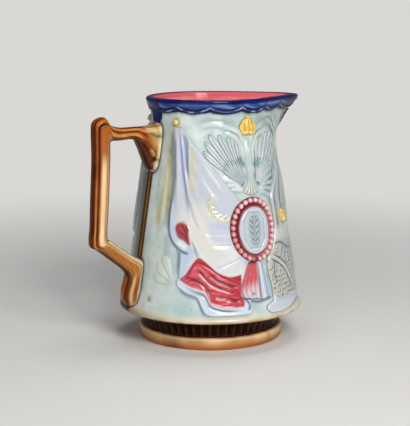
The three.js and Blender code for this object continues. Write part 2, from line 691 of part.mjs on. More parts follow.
const wingRoot = MEDALLION.centre[0];
const foreWing = { ...WING, root: [WING.root[0] + wingRoot, WING.root[1]] };
const rearWing = { ...WING, root: [WING.root[0] - wingRoot, WING.root[1]] };
for (const [side, site] of [["right", rightPanel], ["left", leftPanel]]) {
  add(`${side}_drape`, "ivory", drape(site));
  add(`${side}_drape_hem`, "carmine", drapeHem(site));
  add(`${side}_finial`, "gold", oval(site, FINIAL, 4));
  add(`${side}_wing_rear`, "ash", fan(site, rearWing, -1));
  add(`${side}_wing_fore`, "ash", fan(site, foreWing));
  add(`${side}_plume`, "ash", plume(site));
  add(`${side}_gold_dome`, "gold", goldDome(site));
  add(`${side}_medallion`, "ivory", oval(site, MEDALLION, 6, 0.5));
  add(`${side}_bead_frame`, "carmine", beadFrame(site));
  add(`${side}_ribbon_rear`, "carmine", ribbon(site, RIBBON_REAR));
  add(`${side}_ribbon_fore`, "ivory", ribbon(site, RIBBON_FORE));
  add(`${side}_banner`, "ash", banner(site));
  add(`${side}_leaf_spray`, "celadon", fan(site, SPRAY));
  add(`${side}_gold_acorn`, "gold", goldAcorn(site));
}

export default jug;
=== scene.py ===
# Looks of a relief-moulded, lead-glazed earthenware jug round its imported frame. Drawings are in
# millimetres, as in the part's source: (u, v) runs along the wall from a panel's centre line and up
# from the panel's foot. Meshes are in metres, in the frame's own axes.
import math

import bpy
import numpy as np
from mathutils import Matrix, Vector


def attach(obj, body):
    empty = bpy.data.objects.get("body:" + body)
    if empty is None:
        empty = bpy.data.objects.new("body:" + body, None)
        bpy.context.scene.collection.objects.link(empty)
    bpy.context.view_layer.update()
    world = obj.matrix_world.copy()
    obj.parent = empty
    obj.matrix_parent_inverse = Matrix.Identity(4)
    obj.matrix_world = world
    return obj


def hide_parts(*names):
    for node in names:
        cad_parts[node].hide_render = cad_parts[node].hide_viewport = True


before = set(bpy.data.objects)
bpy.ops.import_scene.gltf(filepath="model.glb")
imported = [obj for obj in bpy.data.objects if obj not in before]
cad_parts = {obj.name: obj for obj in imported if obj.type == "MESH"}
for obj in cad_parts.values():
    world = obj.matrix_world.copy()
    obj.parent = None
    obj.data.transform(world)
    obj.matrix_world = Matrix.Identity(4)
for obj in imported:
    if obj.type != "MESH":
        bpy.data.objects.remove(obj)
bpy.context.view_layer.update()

MM = 0.001
FULL_TURN = 2 * math.pi
AXIS = 13.1  # the jug's axis along X

# Sizes of the part
JUG_HEIGHT = 214.5
WALL = 5.0
FOOT_HEIGHT, FOOT_RADIUS, FOOT_BAND = 27.0, 64.5, 10.7
HOLLOW_RADIUS, FOOT_TOP_RADIUS, FOOT_ROUNDING = 60.0, 70.0, 2.4
FLUTES, FLUTE_DEPTH = 54, 1.3
LEDGE_WIDTH, LEDGE_HEIGHT, FLOOR = 5.0, 4.0, 6.0
WALL_FOOT, TAPER_FOOT, WALL_TOP = 27.3, 36.3, 210.0
TAPER_RADIUS = 77.0
NECK_RADIUS, NECK_HEIGHT, RIM_RADIUS = 52.6, 17.5, 55.4
SPOUT_REACH, SPOUT_DIP, SPOUT_ROUNDING = 92.0, 2.5, math.radians(6)
THROAT_HEIGHT, THROAT_CURVE = 59.5, 1.35
BORDER, SCALLOPS, TAB_HALF_ANGLE = 1.4, 12, math.radians(8)
SLIP = 0.3
PANEL_FOOT, PANEL_TOP, DRAWN_TOP = 37.1, 202.6, 165.0
PANEL_TURN = math.radians(3)
NECK_LEVEL = JUG_HEIGHT - NECK_HEIGHT
THROAT_LEVEL = JUG_HEIGHT - THROAT_HEIGHT
SINK = 0.5  # how far a sprig's back lies inside the wall, so that no joint shows

# Sizes of the handle
PAD_TOP, PAD_HEIGHT, PAD_WIDTH, PAD_EDGE, PAD_FLARE = 193.0, 42.5, 21.0, 3.0, 21.0
ARM_TOP, ARM_DEPTH, ARM_WIDTH, KNUCKLE_RISE = 190.6, 11.0, 13.6, 9.5
GRIP_REACH, GRIP_DEPTH, GRIP_WIDTH, CORNER, SWELL = 114.6, 15.6, 14.4, 3.0, 1.0
ELBOW_REACH, ELBOW_HEIGHT, STRUT_SEAT, STRUT_DEPTH = 118.2, 91.0, 73.0, 10.0
TONGUE_LOW, TONGUE_PROUD, TONGUE_WIDTH, TONGUE_HEEL = 35.0, 13.0, 16.0, 2.4
TONGUE_SECTIONS = [(0.4, 0.9, 1), (0.67, 1, 0.94), (0.85, 0.92, 0.8), (1, 0.6, 0.5)]
REEDS, REED_DEPTH, SQUARENESS = 8, 0.09, 0.7
ROOT = 2.5  # how far the handle's ends go into the wall

# Flange at the foot of the wall: (radius, height) from its underside to the taper
FLANGE = [
    (80.3, 27.3), (81.6, 28.0), (82, 29.0), (81.9, 30.2),
    (81.1, 31.5), (79.6, 33.2), (78.1, 34.8), (77, 36.3),
]
# Shallow hollows of a hand-pressed wall: depth, and the heights where they run in and out
PRESS_DEPTH, PRESS_IN, PRESS_OUT = 0.15, (TAPER_FOOT, TAPER_FOOT + 14), (188, 204)


# Wall and drawing

def wall_radius(height):
    """Outside radius of the plain wall."""
    height = np.asarray(height, float)
    share = (height - TAPER_FOOT) / (NECK_LEVEL - TAPER_FOOT)
    taper = TAPER_RADIUS + (NECK_RADIUS - TAPER_RADIUS) * share
    turn_out = (height - NECK_LEVEL) / NECK_HEIGHT
    neck = NECK_RADIUS + (RIM_RADIUS - NECK_RADIUS) * turn_out**2
    return np.where(height > NECK_LEVEL, neck, taper)


def smooth(low, high, value):
    """0 below one value and 1 above another, with a soft step between them."""
    share = np.clip((value - low) / (high - low), 0, 1)
    return share * share * (3 - 2 * share)


def within(value, low, high, soft):
    """1 between two values, with soft edges."""
    return smooth(low - soft, low + soft, value) * (1 - smooth(high - soft, high + soft, value))


def bell(offset, width):
    """A soft bump, 1 in its middle and next to nothing two widths away."""
    return np.exp(-((offset / width) ** 2))


def rounded(distance, radius):
    """A quarter-round edge: 0 at the edge, 1 from its radius inwards."""
    return np.sqrt(1 - (1 - np.clip(distance / radius, 0, 1)) ** 2)


def skin_radius(turn, height):
    """Outside radius with the flange and the pressed hollows, which only go inwards."""
    radii, levels = np.array(FLANGE).T
    flange = np.interp(height, levels, radii)
    plain = np.where(np.asarray(height) < TAPER_FOOT, flange, wall_radius(height))
    wave = np.sin(3 * turn + height / 23) + np.sin(5 * turn - height / 31) - 2
    pressed = smooth(*PRESS_IN, height) * (1 - smooth(*PRESS_OUT, height))
    return plain + PRESS_DEPTH * wave * pressed


def place(radius, turn, height):
    """Points at a radius, a turn about the axis and a height. Above the throat the round plan is
    drawn out to a teardrop, whose flanks meet at the spout."""
    share = np.clip((height - THROAT_LEVEL) / THROAT_HEIGHT, 0, 1)
    plan = wall_radius(height)
    reach = plan + (SPOUT_REACH - RIM_RADIUS) * share**THROAT_CURVE
    from_spout = np.arctan2(np.sin(turn), np.cos(turn))
    flank = np.arccos(plan / reach) + SPOUT_ROUNDING - np.hypot(from_spout, SPOUT_ROUNDING)
    stretch = 1 / np.cos(np.maximum(0, flank))
    dip = SPOUT_DIP * share * (stretch - 1) / np.maximum(reach / plan - 1, 1e-9)
    drawn = radius * stretch
    return np.stack([AXIS + drawn * np.cos(turn), drawn * np.sin(turn), height - dip], -1)


def turns(columns):
    """Even turns about the axis, one to a row."""
    return np.arange(columns)[:, None] / columns * FULL_TURN


def from_handle_line(turn):
    """Angle from the handle's plane, to either side."""
    return np.abs(np.arctan2(np.sin(turn - math.pi), np.cos(turn - math.pi)))


# A site is the turn of a centre line about the axis, and which way u runs from it
RIGHT = (-math.pi / 2 + PANEL_TURN, 1)
LEFT = (math.pi / 2 - PANEL_TURN, -1)
HANDLE_LINE = (math.pi, 1)
SPOUT_LINE = (0.0, 1)
SIDES = (("right", RIGHT), ("left", LEFT))
PANEL_SCALE = (PANEL_TOP - PANEL_FOOT) / DRAWN_TOP


def drawn_level(height):
    """The v of a height above the table."""
    return (height - PANEL_FOOT) / PANEL_SCALE


def on_wall(site, u, v, proud):
    """Points of a drawing, laid on the wall or proud of it."""
    height = PANEL_FOOT + v * PANEL_SCALE
    turn = site[0] + site[1] * u / wall_radius(height)
    return place(skin_radius(turn, height) + proud, turn, height)


def resample(line, count):
    """The same line with evenly spaced points."""
    run = np.concatenate([[0], np.cumsum(np.hypot(*np.diff(line, axis=0).T))])
    at = np.linspace(0, run[-1], count)
    return np.column_stack([np.interp(at, run, line[:, k]) for k in range(2)])


def smooth_run(points, t):
    """Points on a smooth run through the given ones, at the shares t of every span."""
    ends = np.vstack([points[:1], points, points[-1:]])
    spans = []
    for before, a, b, after in zip(ends, ends[1:], ends[2:], ends[3:]):
        leave, arrive = (b - before) / 2, (after - a) / 2
        spans.append(a + leave * t + (3 * (b - a) - 2 * leave - arrive) * t**2
                     + (2 * (a - b) + leave + arrive) * t**3)
    return np.vstack(spans)


def curve(points, count):
    """Evenly spaced points on a smooth line through the drawn ones."""
    return resample(smooth_run(np.array(points, float), np.linspace(0, 1, 24)[:, None]), count)


def patch(top, bottom, left, right):
    """A grid between four edges: rows from top to bottom, columns from left to right."""
    s = np.linspace(0, 1, len(top))[None, :, None]
    t = np.linspace(0, 1, len(left))[:, None, None]
    across = top[None] * (1 - t) + bottom[None] * t
    down = left[:, None] * (1 - s) + right[:, None] * s
    upper = top[0] * (1 - s) + top[-1] * s
    lower = bottom[0] * (1 - s) + bottom[-1] * s
    net = across + down - upper * (1 - t) - lower * t
    return net[..., 0], net[..., 1]


def grid(columns, rows, low=0.0):
    """Shares across, from low to 1, and down a grid."""
    return np.meshgrid(np.linspace(low, 1, columns), np.linspace(0, 1, rows))


def disc(half, count):
    """A square grid bent to an ellipse: u, v and the share of the radius."""
    x, y = np.meshgrid(np.linspace(-1, 1, count), np.linspace(1, -1, count))
    u, v = x * np.sqrt(1 - y**2 / 2), y * np.sqrt(1 - x**2 / 2)
    return half[0] * u, half[1] * v, np.hypot(u, v)


def from_edges(u, v):
    """Distances of a grid's points from its left, right, top and bottom edges, along the grid."""
    found = []
    for axis in (1, 0):
        steps = np.hypot(np.diff(u, axis=axis), np.diff(v, axis=axis))
        start = np.zeros_like(u[:, :1] if axis else u[:1])
        run = np.concatenate([start, np.cumsum(steps, axis)], axis)
        found += [run, run.take([-1], axis) - run]
    return found


def away(u, v, line):
    """Distance to a drawn line, and the share of the line's length at its nearest point."""
    points = curve(line, 8 * len(line))
    best = np.full(np.shape(u), np.inf)
    at = np.zeros(np.shape(u))
    for k, (a, b) in enumerate(zip(points, points[1:])):
        span = b - a
        t = np.clip(((u - a[0]) * span[0] + (v - a[1]) * span[1]) / (span @ span + 1e-9), 0, 1)
        distance = np.hypot(u - a[0] - t * span[0], v - a[1] - t * span[1])
        nearer = distance < best
        best = np.where(nearer, distance, best)
        at = np.where(nearer, (k + t) / (len(points) - 1), at)
    return best, at


FADE = 0.25  # share of a stroke's length that fades out at each end


def soft_line(u, v, line, width, fade=FADE):
    """A soft stroke, which fades out at both ends."""
    distance, at = away(u, v, line)
    ends = smooth(0, fade, at) * (1 - smooth(1 - fade, 1, at)) if fade else 1
    return ends * bell(distance, width)


def soft_lines(u, v, lines, width, fade=FADE):
    """The strongest of several soft strokes."""
    return np.maximum.reduce([soft_line(u, v, line, width, fade) for line in lines])


def brush_line(u, v, line, start, end):
    """A crisp stroke whose half width goes from start to end along the line."""
    distance, at = away(u, v, line)
    return 1 - smooth(-0.5, 0.5, distance - start - (end - start) * at)


def above_line(u, v, line, soft, **beyond):
    """1 above a drawn line, with a soft edge."""
    drawn = curve(line, 200)
    return smooth(-soft, soft, v - np.interp(u, drawn[:, 0], drawn[:, 1], **beyond))


def shifted(line, along, up):
    """A drawn line moved by a little."""
    return [(u + along, v + up) for u, v in line]


def ridges(u, v, lines):
    """Height of folds drawn as (line, width, height)."""
    return sum(height * soft_line(u, v, line, width) for line, width, height in lines)


# Paint

def linear(code):
    """An sRGB hex colour as linear red, green, blue and 1."""
    parts = [int(code[k:k + 2], 16) / 255 for k in (1, 3, 5)]
    return [c / 12.92 if c <= 0.04045 else ((c + 0.055) / 1.055) ** 2.4 for c in parts] + [1.0]


def bare(u):
    """Unpainted: no colour, no cover."""
    return np.zeros(np.shape(u) + (4,))


def paint(coat, mask, code, strength=1.0):
    """Lays a colour over a coat where the mask is."""
    cover = np.clip(mask * strength, 0, 1)[..., None]
    under = coat[..., 3:] * (1 - cover)
    total = cover + under
    mixed = np.array(linear(code)[:3]) * cover + coat[..., :3] * under
    coat[..., :3] = np.where(total > 1e-6, mixed / np.maximum(total, 1e-6), 0)
    coat[..., 3:] = total


def brush(coat, u, v, strokes, where=1.0):
    """Soft strokes of colour, as (line, width, colour, cover), some with a fade of their own."""
    for line, width, code, cover, *fade in strokes:
        paint(coat, soft_line(u, v, line, width, *fade) * where, code, cover)


def settled(height, reach):
    """The height after each point has evened out with its neighbours a few times."""
    for _ in range(reach):
        padded = np.pad(height, 1, mode="edge")
        sides = padded[:-2, 1:-1] + padded[2:, 1:-1] + padded[1:-1, :-2] + padded[1:-1, 2:]
        height = 0.5 * height + 0.125 * sides
    return height


POOL_REACH, POOL_DEPTH = 8, 0.35


def pooling(rise, reach=POOL_REACH, depth=POOL_DEPTH):
    """Where molten glaze gathers in hollows, and where it runs thin on crests."""
    sunk = (settled(rise, reach) - rise) / depth
    return np.clip(sunk, 0, 1), np.clip(-sunk, 0, 1)


# Meshes

def ring_faces(columns, rows):
    """Faces of a ring whose every column is one closed profile."""
    i, j = np.meshgrid(np.arange(columns), np.arange(rows), indexing="ij")
    after, above = (i + 1) % columns, (j + 1) % rows
    corners = [i * rows + j, after * rows + j, after * rows + above, i * rows + above]
    return np.stack(corners, -1).reshape(-1, 4)


def slab_faces(rows, columns):
    """Faces of two grids, one over the other, with walls between their edges."""
    index = np.arange(rows * columns).reshape(rows, columns)
    under = rows * columns
    a, b, c, d = index[:-1, :-1], index[:-1, 1:], index[1:, 1:], index[1:, :-1]
    top = np.stack([a, b, c, d], -1).reshape(-1, 4)
    bottom = np.stack([a, d, c, b], -1).reshape(-1, 4) + under
    loop = np.concatenate([index[0], index[1:, -1], index[-1, -2::-1], index[-2:0:-1, 0]])
    ahead = np.roll(loop, -1)
    walls = np.stack([ahead, loop, loop + under, ahead + under], -1)
    return np.concatenate([top, bottom, walls])


def tube_faces(sections, around):
    """Faces of a run of closed sections with flat ends."""
    i, j = np.meshgrid(np.arange(sections - 1), np.arange(around), indexing="ij")
    here, ahead, after = i * around, (i + 1) * around, (j + 1) % around
    sides = np.stack([here + j, here + after, ahead + after, ahead + j], -1).reshape(-1, 4)
    k = np.arange(around // 2 - 1)
    cap = np.stack([k, k + 1, around - 2 - k, around - 1 - k], -1)
    return np.concatenate([sides, cap, cap[:, ::-1] + (sections - 1) * around])


def outward(points, faces):
    """The faces, turned round where they face inwards."""
    a, b, c, d = (points[faces[:, k]] for k in range(4))
    volume = np.einsum("ij,ij->", a, np.cross(b, c)) + np.einsum("ij,ij->", a, np.cross(c, d))
    return faces[:, ::-1] if volume < 0 else faces


def store(mesh, label, kind, field, values):
    """A value for every point of a mesh, for its glaze to read."""
    layer = mesh.attributes.new(label, kind, "POINT")
    layer.data.foreach_set(field, values.astype(np.float32).ravel())


def piece(name, nodes, slot, glazes, points, faces, coat=None, pool=None, thin=None, glaze_of=None):
    """A mesh that stands for its CAD nodes, with its paint and its pooled and thin glaze."""
    points = points.reshape(-1, 3)
    faces = outward(points, faces)
    mesh = bpy.data.meshes.new(name)
    mesh.vertices.add(len(points))
    mesh.vertices.foreach_set("co", (points * MM).astype(np.float32).ravel())
    mesh.loops.add(faces.size)
    mesh.loops.foreach_set("vertex_index", faces.astype(np.int32).ravel())
    mesh.polygons.add(len(faces))
    mesh.polygons.foreach_set("loop_start", np.arange(0, faces.size, 4, dtype=np.int32))
    mesh.update(calc_edges=True)
    mesh.shade_smooth()
    for glaze in glazes:
        mesh.materials.append(glaze)
    if glaze_of is not None:
        mesh.polygons.foreach_set("material_index", glaze_of.ravel()[faces].max(1).astype(np.int32))
    plain = np.zeros(len(points))
    store(mesh, "paint", "FLOAT_COLOR", "color", bare(plain) if coat is None else coat)
    store(mesh, "pool", "FLOAT", "value", plain if pool is None else pool)
    store(mesh, "thin", "FLOAT", "value", plain if thin is None else thin)
    made = bpy.data.objects.new(name, mesh)
    bpy.context.scene.collection.objects.link(made)
    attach(made, "root")
    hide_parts(*nodes)


# The relief of one panel, gathered from its sprigs, shows where glaze pools on the wall beside them
MAP_STEP = 0.75
MAP_LOW = (-130.0, -12.0)
MAP_ROWS, MAP_COLUMNS = 260, 330
relief_map = np.zeros((MAP_ROWS, MAP_COLUMNS))


def gather(u, v, rise):
    """Notes a sprig's relief on the map."""
    i = np.rint((u - MAP_LOW[0]) / MAP_STEP).astype(int)
    j = np.rint((v - MAP_LOW[1]) / MAP_STEP).astype(int)
    np.maximum.at(relief_map, (j.ravel(), i.ravel()), rise.ravel())


def gathered(u, v, reach):
    """Relief near points of the wall, evened out over a few steps of the map."""
    ground = settled(relief_map, reach)
    i = np.clip((u - MAP_LOW[0]) / MAP_STEP, 0, MAP_COLUMNS - 2)
    j = np.clip((v - MAP_LOW[1]) / MAP_STEP, 0, MAP_ROWS - 2)
    i0, j0 = i.astype(int), j.astype(int)
    right, up = i - i0, j - j0
    lower = ground[j0, i0] * (1 - right) + ground[j0, i0 + 1] * right
    upper = ground[j0 + 1, i0] * (1 - right) + ground[j0 + 1, i0 + 1] * right
    return lower * (1 - up) + upper * up


GROUND = "#C8D4D0"  # celadon that runs over the edges of paler sprigs
LIP_SOFTNESS = 0.35  # how much of a sprig's lip is a soft ramp rather than a rounding


def slab(name, slot, glaze, site, u, v, rise, coat, pool, thin):
    """A closed slab on the wall, its back a little inside it."""
    points = np.concatenate([on_wall(site, u, v, rise), on_wall(site, u, v, -SINK)])
    shades = [np.concatenate([x, x]) for x in (coat, pool, thin)]
    piece(f"{name}_glazed", [name], slot, [glaze], points, slab_faces(*u.shape), *shades)


def sprig(name, slot, glaze, u, v, rise, coat, lip, drowned=0.0, depth=POOL_DEPTH):
    """The same sprig on both sides of the jug. Its lip runs out softly to the wall, and where the
    ground glaze drowned it, the lip takes the ground's colour."""
    edge = np.minimum.reduce(from_edges(u, v))
    ramp = smooth(0, lip, edge)
    rise = rise * (LIP_SOFTNESS * ramp + (1 - LIP_SOFTNESS) * rounded(edge, lip))
    paint(coat, 1 - ramp, GROUND, drowned)
    gather(u, v, rise)
    pool, thin = pooling(rise, depth=depth)
    for side, site in SIDES:
        slab(f"{side}_{name}", slot, glaze, site, u, v, rise, coat, pool, thin)


# Materials

def node(tree, kind, inputs, **settings):
    """One shader node with its settings. Each input takes a value or another node's socket."""
    made = tree.nodes.new(kind)
    for key, value in settings.items():
        setattr(made, key, value)
    for socket, value in inputs.items():
        if isinstance(value, bpy.types.NodeSocket):
            tree.links.new(value, made.inputs[socket])
        else:
            made.inputs[socket].default_value = value
    return made


FACTOR, A, B, MIXED = 0, 6, 7, 2  # colour sockets of a Mix node
GLAZE_IOR = 1.56
DRIFT_NOISE = (4.0, 0.4, 0.62)  # detail, and the noise values where a tone starts and is full
CLOUD_SPREAD, CLOUD_NOISE = 2.3, (5.0, 0.5, 0.72)
PEEL_MM, PEEL_DEPTH, PEEL_STRENGTH, PEEL_NOISE = 3.5, 0.15, 0.3, (2.0, 0.25, 0.75)
GLOSS_SPREAD = (0.8, 1.3)


def lead_glaze(name, body, drift, cloud, pooled, crest, drift_mm, gloss, mirror=0.5):
    """Coloured lead glaze over a pale body. The colour drifts between two tones as the coat was
    brushed on, with clouds of a third, deepens where it pooled in hollows and pales where it ran off
    the crests. The fired surface is glassy, with a faint unevenness that softens its reflections."""
    material = bpy.data.materials.new(name)
    material.use_nodes = True
    tree = material.node_tree
    tree.nodes.clear()
    spot = node(tree, "ShaderNodeTexCoord", {}).outputs["Object"]

    def noise(size_mm, detail, low, high):
        scale = {"Vector": spot, "Scale": 1 / (size_mm * MM), "Detail": detail}
        grain = node(tree, "ShaderNodeTexNoise", scale).outputs["Fac"]
        limits = {"Value": grain, "From Min": low, "From Max": high}
        return node(tree, "ShaderNodeMapRange", limits).outputs[0]

    def over(share, under, upper, blend="MIX"):
        colours = {FACTOR: share, A: under, B: upper}
        return node(tree, "ShaderNodeMix", colours, data_type="RGBA", blend_type=blend).outputs[MIXED]

    def painted(label):
        return node(tree, "ShaderNodeAttribute", {}, attribute_name=label).outputs

    tone = over(noise(drift_mm, *DRIFT_NOISE), linear(body), linear(drift))
    tone = over(noise(drift_mm * CLOUD_SPREAD, *CLOUD_NOISE), tone, linear(cloud))
    tone = over(painted("paint")["Alpha"], tone, painted("paint")["Color"])
    tone = over(painted("thin")["Fac"], tone, linear(crest), "SCREEN")
    tone = over(painted("pool")["Fac"], tone, linear(pooled), "MULTIPLY")
    peel = noise(PEEL_MM, *PEEL_NOISE)
    low, high = (gloss * share for share in GLOSS_SPREAD)
    sheen = node(tree, "ShaderNodeMapRange", {"Value": peel, "To Min": low, "To Max": high}).outputs[0]
    relief = {"Strength": PEEL_STRENGTH, "Distance": PEEL_DEPTH * MM, "Height": peel}
    bump = node(tree, "ShaderNodeBump", relief).outputs["Normal"]
    fired = {"Base Color": tone, "Roughness": sheen, "Normal": bump}
    fired |= {"IOR": GLAZE_IOR, "Specular IOR Level": mirror}
    surface = node(tree, "ShaderNodeBsdfPrincipled", fired).outputs[0]
    node(tree, "ShaderNodeOutputMaterial", {"Surface": surface})
    return material


# Celadon: a pale grey-green ground, milky on the flat and sea-green where it gathers
celadon = lead_glaze("celadon_lead_glaze", "#C8D5D2", "#DDE5E2", "#A8C5C3", "#527C7E", "#3A3F3C",
                     drift_mm=13, gloss=0.22)
# Ivory: an opaque white that turns lavender in the folds
ivory = lead_glaze("ivory_tin_glaze", "#D9DADC", "#E3E2DE", "#C6CDDC", "#8392B8", "#3C3A34",
                   drift_mm=12, gloss=0.22)
# Carmine: a thin red enamel, streaked by the brush and pink on every crest
carmine = lead_glaze("carmine_enamel_glaze", "#CB3B49", "#DA5A64", "#B42A39", "#7A2A36", "#5A2C30",
                     drift_mm=5, gloss=0.18, mirror=0.4)
# Cobalt: nearly black where thick, cornflower blue where the lip and the scallops thin it
cobalt = lead_glaze("cobalt_lead_glaze", "#0D1450", "#14206A", "#0A0F40", "#2E3568", "#3A4E90",
                    drift_mm=9, gloss=0.12, mirror=0.2)
# Treacle: a runny iron-brown, honey on the crests and near black in the reeds
treacle = lead_glaze("treacle_iron_glaze", "#A04C16", "#B86422", "#74300C", "#3A1406", "#7A5024",
                     drift_mm=9, gloss=0.15, mirror=0.12)
# Gold: an opaque antimony yellow, ochre in its grooves
gold = lead_glaze("antimony_yellow_glaze", "#EABF4A", "#F5DC80", "#DDA638", "#9A6A20", "#5A4E28",
                  drift_mm=5, gloss=0.18)
# Ash: a thin grey wash over white relief, dark green-grey between the ridges
ash = lead_glaze("ash_grey_glaze", "#C6D0CD", "#D9DEDA", "#B3C4C4", "#4A6664", "#4A4C48",
                 drift_mm=9, gloss=0.22)
# Rose: the pink lining, brighter where it thins
rose = lead_glaze("rose_lining_glaze", "#EC6871", "#F08088", "#F6A8AB", "#B24450", "#3A2A2A",
                  drift_mm=18, gloss=0.14)


# Sprigs of the panel

MEDALLION_CENTRE, MEDALLION_HALF = (1.5, 67.4), (16.0, 21.0)
BEADS, BEAD_RADIUS, BEAD_RISE, PEARL_SHIFT = 28, 2.8, 3.4, 0.4
SPRIG_GAP = 0.8
SEAM = [(-70, 27), (-60, 32), (-50, 42), (-32, 31), (-15, 22)]
TUCK = 1.0  # how far the drape runs under its hem
DRAPE_TOP = [(-64, 153.5), (-56, 153.5)]
DRAPE_LEFT = [
    (-64, 153.5), (-65.6, 133), (-66.6, 112), (-69, 97), (-73, 80), (-74.4, 66),
    (-71.8, 57.4), (-66.6, 50.6), (-67.4, 41), (-70, 26),
]
DRAPE_DIAGONAL = [(-56, 153.5), (-52, 149), (-30, 119)]
DRAPE_ARC = (0.66, 1.36)  # half turns where the cloth's edge meets and leaves the frame of pearls
DRAPE_CORNER = [(-9, 36.5), (-11.6, 29)]
DRAPE_RISE = 1.5
FOLD_BLUE = [(-55.2, 152), (-54, 140), (-53.6, 128), (-53.2, 108)]
FOLD_MIDDLE = [(-58, 150), (-57.6, 133.4), (-57.7, 117), (-56.8, 105.6), (-56.2, 89.5), (-56.1, 74)]
FOLD_LEFT = [(-62, 148), (-63.9, 127.5), (-65.8, 104)]
DRAPE_ROLL = [(-66.6, 104), (-71.2, 84), (-73.5, 65), (-69.2, 56.4), (-58, 51.6)]
ROLL_END = [(-72.4, 57), (-68, 52.4), (-63, 49.8), (-57.4, 48.4)]
STRIP_EDGE = [(-55.6, 60.4), (-52.8, 54.4), (-51.4, 48.8), (-51, 43.6)]
DRAPE_FOLDS = [
    ([(-60.5, 156), (-60.6, 139), (-61.4, 126), (-62.4, 110), (-66, 82)], 2.4, 1.2),
    ([(-56.3, 156), (-55.9, 139), (-55.6, 127), (-55.2, 114), (-53, 90)], 1.5, 1.0),
    ([(-56, 154), (-50.6, 149), (-49.2, 142), (-49.9, 132), (-52, 110)], 1.6, 1.5),
    ([(-49, 142), (-36, 116), (-20, 92)], 2.4, 0.5),
    ([(-50, 130), (-40, 106), (-26, 84)], 2.6, 0.6),
    ([(-52, 118), (-45, 94), (-37, 80), (-18, 72)], 2.6, 0.6),
    ([(-53, 104), (-49, 82), (-44, 66), (-36, 54), (-14, 48)], 3.0, 0.6),
    ([(-58, 78), (-54, 62), (-48, 48), (-40, 40)], 2.6, 0.6),
    (DRAPE_ROLL, 2.8, 1.3),
    ([(-62, 52), (-66, 40), (-69, 24)], 3.0, 1.0),
    (ROLL_END, 1.2, -1.0),
    (STRIP_EDGE, 1.0, -0.5),
    (FOLD_BLUE, 1.7, -0.9),
    (FOLD_MIDDLE, 1.6, -0.8),
    (FOLD_LEFT, 1.5, -0.6),
    ([(-44, 66), (-32, 65.6), (-18, 65.4)], 1.3, -0.25),
    ([(-44, 56.6), (-32, 55.6), (-18, 56)], 1.4, -0.3),
    ([(-40, 35), (-25, 40.4), (-10, 47)], 1.3, -0.4),
    ([(-56, 98), (-52, 80), (-47, 66)], 1.6, -0.5),
]
DRAPE_STROKES = [
    ([(-52, 96), (-46, 66), (-32, 38)], 13, "#E0DDD4", 0.9),
    ([(-42, 72), (-30, 70.6), (-17, 71)], 4.0, "#BDC5E2", 0.7),
    ([(-42, 61), (-30, 61.4), (-17, 60.4)], 3.2, "#C0C8E4", 0.7),
    (DRAPE_ROLL, 4.6, "#A9BCD2", 0.8, 0.1),
    ([(-55.4, 56), (-58, 48.6), (-65, 39), (-69, 22)], 5.6, "#B2C6D6", 0.9, 0.1),
    (ROLL_END, 1.2, "#62758F", 0.85, 0.15),
    (STRIP_EDGE, 1.1, "#8A9AB4", 0.75, 0.5),
    # Painted highlight under the red lobe
    ([(-67, 59.6), (-63, 55.4), (-58.6, 53)], 2.2, "#F0F3F4", 0.8),
    (FOLD_BLUE, 2.2, "#8C9CC2", 0.7),
    (FOLD_MIDDLE, 1.7, "#9CA8D0", 0.7),
    (FOLD_LEFT, 2.2, "#8C9EBA", 0.75),
    ([(-46.4, 141), (-47.4, 130), (-49.7, 111.5), (-51.4, 94)], 1.9, "#D9CE92", 0.75),
]
LOBE = [
    ([(-61.7, 68.6), (-61.9, 65.4)], 5.9, 5.0),
    ([(-61.2, 66), (-59, 61.4), (-56.8, 57)], 4.6, 1.0),
]
LOBE_FOLDS = [
    [(-67, 67), (-61, 64), (-57, 58)],
    [(-64, 74), (-60, 69), (-57, 60)],
    [(-59, 75), (-57, 67), (-56, 59)],
]
RED_TOP = [
    (-67, 26.4), (-62, 31.6), (-58, 37), (-55, 41), (-51, 45),
    (-47.5, 45.2), (-41, 39.4), (-34.7, 33.5), (-25, 29.6), (-15, 31),
]
WREATH = [(-33, 97.4), (-35.6, 91), (-34.6, 84), (-30.4, 79), (-24, 76.6), (-19.6, 79.6)]
WREATH_SPANS, WREATH_LEAF = 7, 3.15  # spans of the stem, and a leaf's reach along it and away from it


def wreath(u, v):
    """A half wreath: a curved stem with leaves to both sides."""
    stem = curve(WREATH, WREATH_SPANS + 1)
    mask = soft_line(u, v, WREATH, 0.7, 0.05)
    for root, ahead in zip(stem[1:], np.diff(stem, axis=0)[1:]):
        ahead = ahead / np.hypot(*ahead)
        aside = np.array([-ahead[1], ahead[0]])
        for side in (-1, 1):
            tip = root + WREATH_LEAF * (ahead + side * aside)
            mask = np.maximum(mask, brush_line(u, v, [root, tip], 0.9, 0.3))
    return mask


